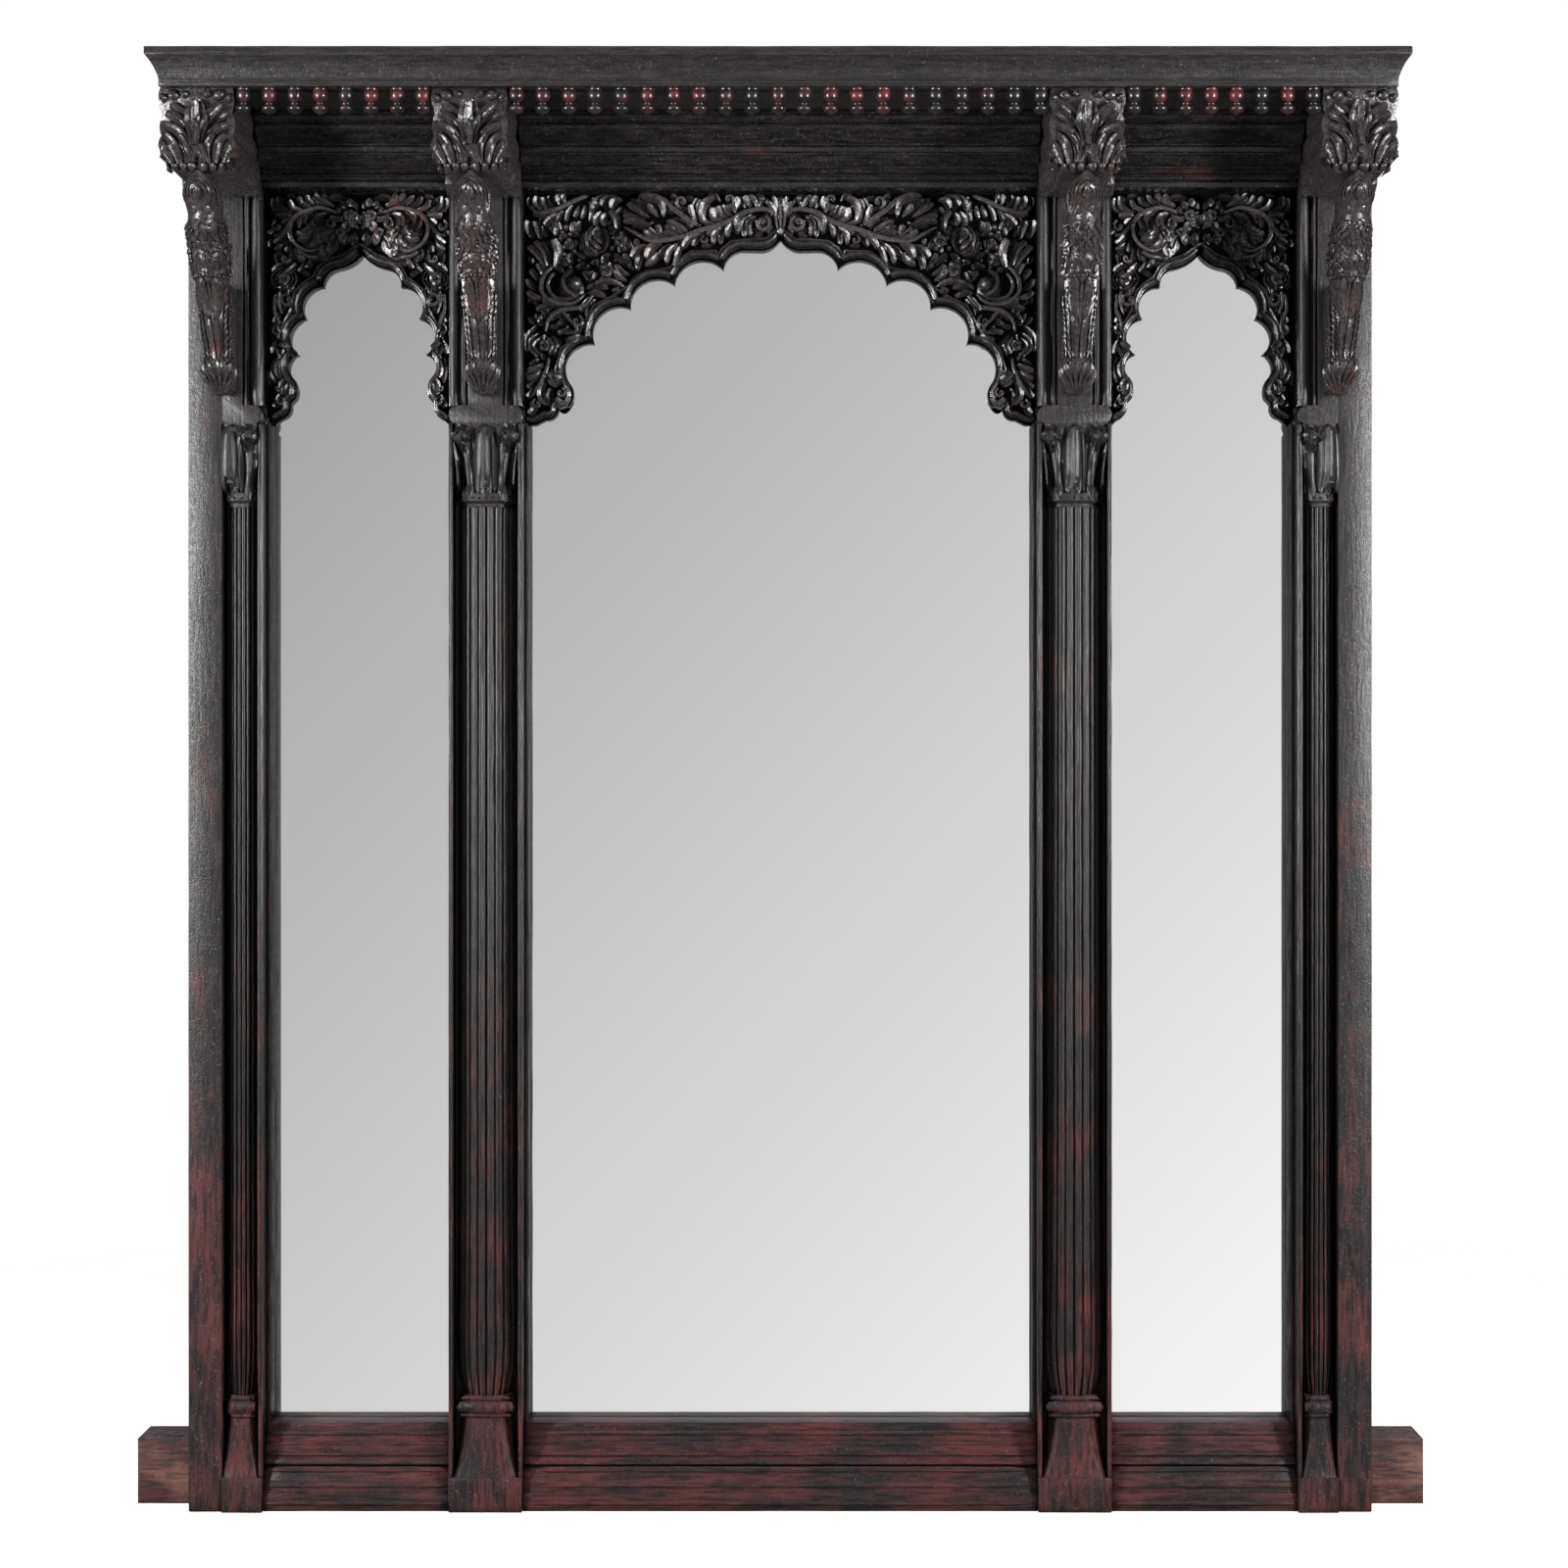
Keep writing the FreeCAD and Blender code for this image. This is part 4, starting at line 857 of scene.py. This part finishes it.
def carve_bird(post, centre):
    """A bird that leans out from its board, with feathers, wings, legs and a lotus leaf at its foot."""
    node = "bird_bracket_" + post
    low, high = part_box(node)
    tall = high.z - low.z
    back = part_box("bracket_board_" + post)[0].y
    feather = bpy.context.scene.window_sizes.feather_rise

    def surface(out, up, height):
        """The chart wraps round the body, and up is measured from the foot."""
        turn = out / GIRTH
        share = min(max(up / tall, 0), 1)
        wide, deep = (between(stops, share) * MM + height for stops in (BIRD_WIDE, BIRD_DEEP))
        y = back - between(BIRD_OUT, share) * MM - deep * math.cos(turn)
        return (centre + wide * math.sin(turn), min(y, back + 4 * MM), low.z + up)

    bm = bmesh.new()
    bmesh.ops.create_uvsphere(bm, u_segments=24, v_segments=56, radius=1)
    for vert in bm.verts:
        share = 1 - math.acos(max(-1.0, min(1.0, vert.co.z))) / math.pi
        if 0.001 < share < 0.999:
            vert.co = surface(math.atan2(vert.co.x, -vert.co.y) * GIRTH, share * tall, 0)
        else:
            vert.co = (centre, back - between(BIRD_OUT, share) * MM, low.z + share * tall)
    # the wood left between the body and the board
    strut = bmesh.new()
    bmesh.ops.create_cube(strut, size=1)
    for vert in strut.verts:
        reach = (20 if vert.co.z < 0 else 58) * MM
        vert.co = (centre + vert.co.x * 30 * MM, back + 1 * MM if vert.co.y > 0 else back - reach,
                   low.z + (8 * MM if vert.co.z < 0 else tall * 0.54))
    place_shape(bm, strut)

    def mark(width, lift, *places, hollow=0.4):
        """A stroke on both sides of the body, or one along its middle, all in millimetres."""
        for side in (-1, 1) if any(places[::2]) else (1,):
            stroke(bm, route_of(places, side, steps=3), width * MM,
                   (lift * 0.5 * MM, lift * MM, lift * 0.8 * MM), surface, hollow=hollow, belly=1)

    def dot(x, y, radius, rise, sides=8):
        bead(bm, (x * MM, y * MM), radius * MM, rise * MM, surface, sides)

    # breast feathers in rows, as short strokes that curl
    for row in range(10):
        for k in range(-5, 6):
            stray = noise.noise_vector(Vector((k * 1.3, row * 1.9, centre * 9)))
            at = ((k + 0.5 * (row % 2) + stray.x * 0.7) * 6.2 * MM, (150 + row * 5.6 + stray.y * 4) * MM)
            lift = feather * (1.7 + stray.z)
            stroke(bm, trace(at, -90 + 150 * stray.y + 4 * k, 9 * MM, 90 * stray.z, steps=5), 5.4 * MM,
                   (lift * 0.6, lift, lift * 1.3), surface, hollow=0.35, belly=1.3, blunt=0.5, sides=10)
    # hood folds over the head, the beak and two wattles on the smooth throat
    for half, foot, head in ((8, 227, 241), (13, 225, 247), (18, 223, 252), (23, 221, 256)):
        route = through([(x * half * MM, (foot + (head - foot) * y) * MM)
                         for x, y in ((-1, 0), (-0.85, 0.6), (0, 1), (0.85, 0.6), (1, 0))])
        stroke(bm, route, 5 * MM, (1.5 * MM, 2.6 * MM, 1.5 * MM), surface, hollow=0.2, belly=1)
    mark(8, 6, 0, 240, 0, 232, 0, 221, hollow=0)
    for side in (-1, 1):
        dot(side * 9, 212, 5.5, 2.6, 10)
    # collar, legs, and wings with beads at their edges
    for k in range(-6, 7):
        dot(k * 5, 139, 2.7, 2.8)
    mark(15, 7, 5, 88, 9, 112, 8, 138, hollow=0)
    mark(7, 4, 3, 40, 4, 66, 5, 92, hollow=0.2)
    mark(5, 3.5, 14, 134, 16, 118, 12, 100, hollow=0.2)
    mark(5, 3, 0, 132, 0, 112, 0, 60)
    for row in range(11):
        top = 128 - row * 8
        mark(4.5, 2.4, 26 - row * 0.9, top, 21 - row * 0.7, top - 4, 17 - row * 0.6, top - 12)
        mark(4.5, 2.6, 34 - row * 0.9, top - 2, 30 - row * 0.9, top - 6, 26 - row * 0.8, top - 14)
    for k in range(14):
        for side in (-1, 1):
            dot(side * (30 - k * 0.3), 44 + 4.6 * k, 2.4, 2.6, 6)
    for row in range(5):
        mark(5, 2, 5, 86 - row * 9, 6, 80 - row * 9, 4, 72 - row * 9)
    # the lotus leaf
    for x, y in ((0, 44), (9, 43), (18, 41), (26, 37)):
        mark(11, 5, x * 0.25, 2, x * 0.7, y * 0.5, x, y, hollow=0.6)
    for k in range(-3, 4):
        dot(k * 8, 43, 3, 3.4)
    roughen(bm, 0.4 * MM, 0.02)
    finish_piece(bm, "bird_" + post, "carved", [node])


def carve_capital(post, centre, petal_out, flowers):
    """Petals and buds on a capital's face, over its worn bell. All its places are in millimetres."""
    low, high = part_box("capital_" + post)
    bell = high.z - 78 * MM
    face = face_of("timber_capital_" + post, low.y - AHEAD)
    bm = bmesh.new()

    def surface(out, up, height):
        x = min(max(centre + out, low.x + 1 * MM), high.x - 1 * MM)
        z = min(bell + up, high.z - 0.5 * MM)
        y = face(x, z)
        return (centre + out, (low.y + 12 * MM if y is None else y) - height, z)

    def mark(width, lift, *places, hollow=0.0, blunt=0.4, sunk=1.5):
        stroke(bm, route_of(places), width * MM, (lift * MM, lift * 1.2 * MM, lift * MM), surface,
               hollow=hollow, belly=1, blunt=blunt, sunk=sunk * MM)

    # the flat middle petal with its upright facets, and slanting ones that reach back to the post
    mark(32, 4, petal_out, -16, petal_out, 40, petal_out, 79, blunt=0.2)
    for shift, width, tip in ((-9, 13, 71), (3.5, 11, 75), (11.5, 8, 70)):
        mark(width, 6, petal_out + shift, -12, petal_out + shift, 36, petal_out + shift * 0.8, tip, blunt=0.2)
    for side in (-1, 1):
        reach = (high.x - centre if side > 0 else centre - low.x) / MM - 1
        middle = petal_out * side
        for foot, head in ((19, 23), (25, 33), (32, 43)):
            if middle + foot < reach:
                mark(11, 3.5, petal_out + side * foot, -16, petal_out + side * (foot + 1), 22,
                     min(middle + head, reach) * side, 56, blunt=0.25, sunk=24)
    # curled flowers at the corners, each over a bud
    for out in flowers:
        at = (out * MM, 64 * MM)
        bead(bm, at, 13 * MM, 7 * MM, surface, sides=12)
        for turn in (20, 95, 170, 245, 320):
            stroke(bm, trace(off(at, 3 * MM, turn), turn, 12 * MM, 50, 40), 6 * MM, (8 * MM, 10 * MM, 6 * MM),
                   surface)
        bud = out * 0.96
        bead(bm, (bud * MM, 47 * MM), 8.5 * MM, 6 * MM, surface, sides=12)
        mark(4, 8, bud - 5, 52, bud, 44, bud + 5, 50)
    for k in range(int((high.x - low.x) / MM / 9)):
        bead(bm, (low.x - centre + (6 + 9 * k) * MM, -17 * MM), 1.9 * MM, 3 * MM, surface, sides=6)
    finish_piece(bm, "petals_" + post, "upright")


# A reed: places across it, each with its height as a share of the shaft's half width
REED = [
    (0.0, 0.972), (0.045, 0.93), (0.09, 0.915), (0.14, 0.97), (0.28, 1.0), (0.43, 1.004), (0.48, 0.985),
    (0.53, 0.985), (0.58, 1.004), (0.72, 1.0), (0.86, 0.97), (0.91, 0.915), (0.955, 0.93),
]
# The shaft from foot to top: a share of its height and a share of its channel's width
SHAFT_WIDTH = [(0, 0.72), (0.012, 0.8), (0.03, 0.91), (0.06, 0.955), (0.14, 0.92), (0.3, 0.89), (1, 0.87)]


def turned_shaft(post):
    """A reeded half shaft that swells like a bud above its collar."""
    node = "pilaster_shaft_" + post
    low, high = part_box(node)
    reeds = bpy.context.scene.window_sizes.reed_count
    back, tall = high.y, high.z - low.z
    centre = (low.x + high.x) / 2
    # the solid's widest part fills 95 parts in 100 of the channel
    channel = (high.x - low.x) / 0.95
    reach = back - low.y
    stops = [((k + place) * math.pi / reeds, rise) for k in range(reeds) for place, rise in REED]
    stops.append((math.pi, REED[0][1]))
    around = len(stops) + 6
    bm = bmesh.new()
    bmesh.ops.create_cone(bm, cap_ends=True, segments=around, radius1=1, radius2=1, depth=1)
    upright = [e for e in bm.edges if abs(e.verts[0].co.z - e.verts[1].co.z) > 0.5]
    bmesh.ops.subdivide_edges(bm, edges=upright, cuts=59)
    for vert in bm.verts:
        k = round(math.atan2(vert.co.y, vert.co.x) / (2 * math.pi) * around) % around
        share = (vert.co.z + 0.5) ** 1.6
        half = channel / 2 * between(SHAFT_WIDTH, share)
        z = low.z + tall * share
        if k < len(stops):
            angle, rise = stops[k]
            vert.co = (centre + half * rise * math.cos(angle), back - reach * rise * math.sin(angle), z)
        else:
            across = (k - len(stops) + 1) / (around - len(stops) + 1)
            vert.co = (centre - half * REED[0][1] * (1 - 2 * across), back, z)
    roughen(bm, 0.35 * MM, 0.03)
    finish_piece(bm, "shaft_" + post, "upright", [node], sharp=50)


def run_beads(name, timber, finish, lines):
    """Half-round beads on a timber's front, as long as the timber reaches. Each line is a width and a rise,
    then x and z at both ends."""
    bm = bmesh.new()
    # the rays start in front of everything
    face = face_of(timber, -0.5)
    for width, rise, x0, z0, x1, z1 in lines:
        places = [Vector((x0 + (x1 - x0) * k / 60, z0 + (z1 - z0) * k / 60)) for k in range(61)]
        found = [(place, face(*place)) for place in places]
        places, depths = zip(*[(place, y) for place, y in found if y is not None])
        start, run, last = places[0], places[-1] - places[0], len(places) - 1
        level = sorted(depths)[last // 2]
        points = [tuple(start + run * (k / 20)) for k in range(21)]

        def surface(x, z, height):
            share = min(max((Vector((x, z)) - start).dot(run) / run.length_squared, 0), 1) * last
            return (x, min(max(depths[round(share)], level - 4 * MM), level + 4 * MM) - height, z)

        stroke(bm, points, width, (rise, rise, rise), surface, hollow=0, belly=1, blunt=0.06)
    roughen(bm, 0.3 * MM, 0.03)
    hold_within(bm, *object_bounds())
    finish_piece(bm, name, finish)


# A turned drop's outline: radius and fall from the cornice, in millimetres
DROP = [
    (0, 0), (8, 0), (8.3, 1.8), (7.7, 2.6), (8.7, 4), (9.1, 6.6), (9, 9.4), (8.2, 12.2), (6.6, 14.4),
    (4.6, 15.8), (3.6, 17), (4, 18), (5.5, 18.6), (5.5, 19.6), (4.6, 20.2), (5.6, 21), (8.4, 22),
    (9.2, 23.4), (9, 25.2), (7.8, 27.4), (5.4, 29.4), (2.8, 30.6), (1.4, 31.4), (0, 31.8),
]
# How far the middle of a row's first drop lies from the row's end
DROP_INSET = 9.24 * MM


def turned_drops(bay):
    """Turned drops, one for each solid in the bay's row."""
    node = "pendant_drops_" + bay
    low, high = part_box(node)
    count = 21 if bay == "centre" else 8
    step = (high.x - low.x - 2 * DROP_INSET) / (count - 1)
    bm = bmesh.new()
    for k in range(count):
        shape = bmesh.new()
        outline = [shape.verts.new((r * MM, 0, -fall * MM)) for r, fall in DROP]
        edges = [shape.edges.new(pair) for pair in zip(outline, outline[1:])]
        bmesh.ops.spin(shape, geom=outline + edges, cent=(0, 0, 0), axis=(0, 0, 1),
                       angle=2 * math.pi, steps=14, use_merge=True)
        bmesh.ops.remove_doubles(shape, verts=shape.verts, dist=0.02 * MM)
        lean = Matrix.Rotation(noise.noise(Vector((k * 3.7, len(bay), 0))) * 0.05, 4, "Y")
        place = Matrix.Translation((low.x + DROP_INSET + step * k, (low.y + high.y) / 2, high.z))
        bmesh.ops.transform(shape, matrix=place @ lean, verts=shape.verts)
        place_shape(bm, shape)
    hold_within(bm, (low.x - 1 * MM, low.y - 1 * MM, low.z), (high.x + 1 * MM, high.y + 1 * MM, high.z))
    finish_piece(bm, "drops_" + bay, "drops", [node], sharp=60)


class WINDOW_OT_timber(bpy.types.Operator):
    """Beams, posts, boards and mouldings with rubbed edges and wavering faces"""
    bl_idname = "window.timber"
    bl_label = "Timber"

    def execute(self, context):
        for post in POSTS:
            for node, name, finish, wear in (
                    ("post_", "post_", "upright", 1.4), ("bracket_board_", "bracket_board_", "upright", 1.2),
                    ("pilaster_base_", "base_", "upright", 0.9), ("capital_", "capital_", "upright", 0.5),
                    ("corbel_", "corbel_", "carved", 0.7)):
                worn_timber(node + post, "timber_" + name + post, finish, wear)
        for bay in BAYS:
            worn_timber("sill_moulding_" + bay, "timber_sill_" + bay, "across", 0.6)
            worn_timber("frieze_board_" + bay, "timber_frieze_" + bay, "shaded", 0.6)
            worn_timber("pane_stops_" + bay, "timber_stops_" + bay, "upright", 0.4)
        for arch in ARCHES:
            worn_timber("arch_" + arch, "timber_arch_" + arch, "pierced", 0.4, hollowed=True)
        for node in ("lintel_beam", "cornice_board", "crown_moulding_front"):
            worn_timber(node, "timber_" + node, "across", 0.7)
        for node in ("crown_return_left", "crown_return_right"):
            worn_timber(node, "timber_" + node, "carved", 0.7)
        worn_timber("sill_beam", "timber_sill_beam", "dry", 1.6)
        return {"FINISHED"}


def beaded_edges(post, low, high):
    """The upright edges with beads, and the way in from each. An end post has beads beside its pane only."""
    return [(edge, way) for edge, way in ((low.x, 1), (high.x, -1))
            if not post.endswith("end") or (way < 0) == post.startswith("left")]


def level_beads(kind, bay, inset, rows):
    """Lines across a board. Each row is a share of the board's height and a width in millimetres."""
    low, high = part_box(kind + bay)
    places = [(width * MM, low.z + (high.z - low.z) * up) for up, width in rows]
    return [(width, width / 2, low.x + inset * MM, z, high.x - inset * MM, z) for width, z in places]


class WINDOW_OT_beads(bpy.types.Operator):
    """Beads run along the posts, bracket boards, collars, friezes, sills and crown"""
    bl_idname = "window.beads"
    bl_label = "Beads"

    def execute(self, context):
        for post in POSTS:
            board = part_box("bracket_board_" + post)
            foot, head = 130 * MM, board[0].z - 32 * MM
            lines = [(5 * MM, 2.6 * MM, edge + way * inset, foot, edge + way * inset, head)
                     for edge, way in beaded_edges(post, *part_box("post_" + post))
                     for inset in (3.5 * MM, 10 * MM)]
            run_beads("beads_post_" + post, "timber_post_" + post, "upright", lines)
            foot, head = board[0].z + 19 * MM, board[1].z - 4 * MM
            lines = [(width, rise, edge + way * inset, foot, edge + way * inset, head)
                     for edge, way in beaded_edges(post, *board)
                     for inset, width, rise in ((7 * MM, 12 * MM, 5 * MM), (18 * MM, 5 * MM, 3 * MM))]
            run_beads("beads_board_" + post, "timber_bracket_board_" + post, "upright", lines)
            low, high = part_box("pilaster_base_" + post)
            left, right = low.x + 8 * MM, high.x - 8 * MM
            lines = [(width * MM, rise * MM, left, high.z - down * MM, right, high.z - down * MM)
                     for down, width, rise in ((4, 6, 3), (14, 13, 4.5), (25, 6, 3))]
            run_beads("beads_collar_" + post, "timber_base_" + post, "upright", lines)
        for bay in BAYS:
            lines = level_beads("frieze_board_", bay, 2,
                                ((0.9, 5), (0.8, 4), (0.56, 4), (0.44, 5), (0.26, 4), (0.12, 5)))
            run_beads("beads_frieze_" + bay, "timber_frieze_" + bay, "shaded", lines)
            lines = level_beads("sill_moulding_", bay, 1,
                                ((0.88, 5), (0.76, 6), (0.64, 5), (0.47, 8), (0.3, 5), (0.1, 6)))
            run_beads("beads_sill_" + bay, "timber_sill_" + bay, "across", lines)
        low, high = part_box("crown_moulding_front")
        lines = []
        for up, width, inset in ((4, 4, 26), (8, 3, 26), (35, 3, 12)):
            z = low.z + up * MM
            lines.append((width * MM, 1.4 * MM, low.x + inset * MM, z, high.x - inset * MM, z))
        run_beads("beads_crown", "timber_crown_moulding_front", "across", lines)
        return {"FINISHED"}


def middle_of(node):
    """A solid's middle across the front."""
    low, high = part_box(node)
    return (low.x + high.x) / 2


class WINDOW_OT_pilasters(bpy.types.Operator):
    """Reeded shafts, with petals and buds on the capitals"""
    bl_idname = "window.pilasters"
    bl_label = "Pilasters"

    def execute(self, context):
        for post in POSTS:
            turned_shaft(post)
            out = 10 * (-1 if post.startswith("left") else 1)
            inner = post.endswith("inner")
            carve_capital(post, middle_of("capital_" + post), *(0, (-30, 30)) if inner else (out, (-out,)))
        return {"FINISHED"}


class WINDOW_OT_foliage(bpy.types.Operator):
    """Carved foliage in the grounds of the six arch halves"""
    bl_idname = "window.foliage"
    bl_label = "Foliage"

    def execute(self, context):
        for half, side in (("centre_left", -1), ("centre_right", 1)):
            carve_arch(half, 0, side, CENTRE_STEMS, CENTRE_FINGERS, CENTRE_SCROLLS, CENTRE_FLOWERS,
                       CENTRE_BEADS)
        for bay, outward in (("left", -1), ("right", 1)):
            for half, side in (("outer", outward), ("inner", -outward)):
                carve_arch(f"{bay}_{half}", middle_of("frieze_board_" + bay), side, SIDE_STEMS, SIDE_FINGERS,
                           SIDE_SCROLLS, SIDE_FLOWERS, SIDE_BEADS, SIDE_RINGS)
        return {"FINISHED"}


class WINDOW_OT_brackets(bpy.types.Operator):
    """Bird struts and the leaves on the corbels"""
    bl_idname = "window.brackets"
    bl_label = "Birds and corbels"

    def execute(self, context):
        for post in POSTS:
            centre = middle_of("bird_bracket_" + post)
            carve_bird(post, centre)
            carve_corbel(post, centre)
        return {"FINISHED"}


class WINDOW_OT_drops(bpy.types.Operator):
    """Turned and painted drops under the cornice"""
    bl_idname = "window.drops"
    bl_label = "Drops"

    def execute(self, context):
        for bay in BAYS:
            turned_drops(bay)
        return {"FINISHED"}


class WINDOW_OT_glazing(bpy.types.Operator):
    """Mirror panes, their backing boards, battens and pegs"""
    bl_idname = "window.glazing"
    bl_label = "Glazing"

    def execute(self, context):
        finishes = {"rebate_battens": "upright", "tenon_pegs": "dry"}
        for bay in BAYS:
            finishes["mirror_pane_" + bay] = "mirror"
            finishes["backing_board_" + bay] = "plywood"
        for node, finish in finishes.items():
            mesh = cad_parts[node].data
            mesh.materials.clear()
            mesh.materials.append(material_for(finish))
        return {"FINISHED"}


class WINDOW_OT_studio(bpy.types.Operator):
    """A pale floor, soft lamps, a white surround and the camera"""
    bl_idname = "window.studio"
    bl_label = "Studio"

    def execute(self, context):
        scene = context.scene
        bm = bmesh.new()
        bmesh.ops.create_circle(bm, cap_ends=True, segments=96, radius=4.0)
        mesh = bpy.data.meshes.new("floor")
        bm.to_mesh(mesh)
        bm.free()
        floor = bpy.data.objects.new("floor", mesh)
        scene.collection.objects.link(floor)
        floor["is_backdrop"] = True
        mesh.materials.append(self.floor_material())
        self.light_world(scene)
        # two upright softboxes in front at the sides, and a wide one overhead
        for side, name in ((-1, "left softbox"), (1, "right softbox")):
            self.lamp(scene, name, (side * 2.2, -1.7, 1.3), (0, 0.1, 1.0), (0.35, 0.7), 125)
        self.lamp(scene, "overhead", (0, -2.2, 4.6), (0, 0, 1.0), (2.4, 1.6), 30)
        # the photo's view: level, from halfway up, with its middle 30 of 1600 pixels to the side
        lens = bpy.data.cameras.new("camera")
        lens.lens = 64.8
        lens.sensor_width = 36
        lens.shift_x = -30 / 1600
        camera = bpy.data.objects.new("camera", lens)
        camera.location = (0.0425, -3.561, 0.929)
        camera.rotation_euler = (math.radians(90), 0, 0)
        scene.collection.objects.link(camera)
        scene.camera = camera
        scene.view_settings.view_transform = "Standard"
        return {"FINISHED"}

    def floor_material(self):
        """Matt white paint that fades into the white surround, and that the mirrors don't show."""
        material, add = new_material("matt white floor")
        place = add("TexCoord", out="Object")
        away = add("VectorMath", (place,), out="Value", operation="LENGTH")
        unseen = add("Math", (1.0, add("LightPath", out="Is Glossy Ray")), operation="SUBTRACT")
        cover = add("Math", (add("MapRange", (away, 1.3, 2.6, 1, 0)), unseen), operation="MULTIPLY")
        # a faint cloudiness 200 mm wide, as on a painted floor
        cloud = add("TexNoise", {"Vector": place, "Scale": 5, "Detail": 2})
        tone = layered(add, (add("MapRange", (cloud, 0.3, 0.7)), srgb("#f4f3f2"), srgb("#fafafa")))
        # what the camera sees is lifted to the white of the surround, and the shadow stays
        lifted = add("MapRange", (add("LightPath", out="Is Camera Ray"), 0, 1, 0, 0.62))
        paint = add("BsdfPrincipled", {"Base Color": tone, "Roughness": 0.9, "IOR": 1.45,
                                       "Emission Color": tone, "Emission Strength": lifted})
        add("OutputMaterial", {"Surface": add("MixShader", (cover, add("BsdfTransparent"), paint))})
        return material

    def light_world(self, scene):
        """White behind the object, an even soft light on it, and a grey sweep in the mirrors."""
        world = bpy.data.worlds.new("studio surround")
        world.use_nodes = True
        scene.world = world
        world.node_tree.nodes.clear()
        add = partial(add_node, world.node_tree)
        x, y, z = add("SeparateXYZ", (add("TexCoord", out="Generated"),)).node.outputs
        depth = add("Math", (add("Math", (y,), operation="ABSOLUTE"), 0.2), operation="MAXIMUM")
        across, up = (add("Math", (way, depth), operation="DIVIDE") for way in (x, z))
        # the sweep grows lighter to the lower right, by about a tenth for each 0.2 of slope
        value = add("Math", (across, 0.462, 0.797), operation="MULTIPLY_ADD")
        value = add("Math", (up, -0.454, value), operation="MULTIPLY_ADD")
        value = add("Math", (add("MapRange", (value, 0.3, 0.97, 0.3, 0.97)), 2.2), operation="POWER")
        # it is a card behind the camera, and the room beyond it is dim
        aside, above = (add("Math", (way,), operation="ABSOLUTE") for way in (across, up))
        card = add("MapRange", (add("Math", (aside, above), operation="MAXIMUM"), 0.3, 0.5, 1, 0))
        card = add("Math", (card, add("MapRange", (y, -0.1, 0.1, 1, 0))), operation="MULTIPLY")
        grey = layered(add, (card, srgb("#3c3c3e"), add("CombineColor", (value, value, value))))
        sweep = add("Background", {"Color": grey, "Strength": 1.08})
        soft, white = (add("Background", {"Color": srgb("#ffffff"), "Strength": force}) for force in (0.2, 1))
        lit = add("MixShader", (add("LightPath", out="Is Glossy Ray"), soft, sweep))
        seen = add("MixShader", (add("LightPath", out="Is Camera Ray"), lit, white))
        add("OutputWorld", {"Surface": seen})

    def lamp(self, scene, name, place, aim, size, power):
        """A soft lamp that faces its aim."""
        data = bpy.data.lights.new(name, "AREA")
        data.shape = "RECTANGLE"
        data.size, data.size_y = size
        data.energy = power
        lamp = bpy.data.objects.new(name, data)
        lamp.location = place
        lamp.rotation_euler = (Vector(aim) - Vector(place)).to_track_quat("-Z", "Y").to_euler()
        scene.collection.objects.link(lamp)


OPERATORS = (WINDOW_OT_timber, WINDOW_OT_beads, WINDOW_OT_pilasters, WINDOW_OT_foliage, WINDOW_OT_brackets,
             WINDOW_OT_drops, WINDOW_OT_glazing, WINDOW_OT_studio)


class WINDOW_PT_mirror(bpy.types.Panel):
    """The mirror's pieces and the settings that they use"""
    bl_idname = "WINDOW_PT_mirror"
    bl_label = "Window Mirror"
    bl_space_type = "VIEW_3D"
    bl_region_type = "UI"
    bl_category = "Window Mirror"

    def draw(self, context):
        for settings in (context.scene.window_finish, context.scene.window_sizes):
            for name in settings.__annotations__:
                self.layout.prop(settings, name)
        for operator in OPERATORS:
            self.layout.operator(operator.bl_idname)


CLASSES = (WindowFinish, WindowSizes) + OPERATORS + (WINDOW_PT_mirror,)


def register():
    for cls in CLASSES:
        bpy.utils.register_class(cls)
    bpy.types.Scene.window_finish = PointerProperty(type=WindowFinish)
    bpy.types.Scene.window_sizes = PointerProperty(type=WindowSizes)


def unregister():
    del bpy.types.Scene.window_sizes
    del bpy.types.Scene.window_finish
    for cls in reversed(CLASSES):
        bpy.utils.unregister_class(cls)


def main():
    register()
    bpy.ops.window.timber()
    bpy.ops.window.beads()
    bpy.ops.window.pilasters()
    bpy.ops.window.foliage()
    bpy.ops.window.brackets()
    bpy.ops.window.drops()
    bpy.ops.window.glazing()
    bpy.ops.window.studio()


if __name__ == "__main__":
    main()
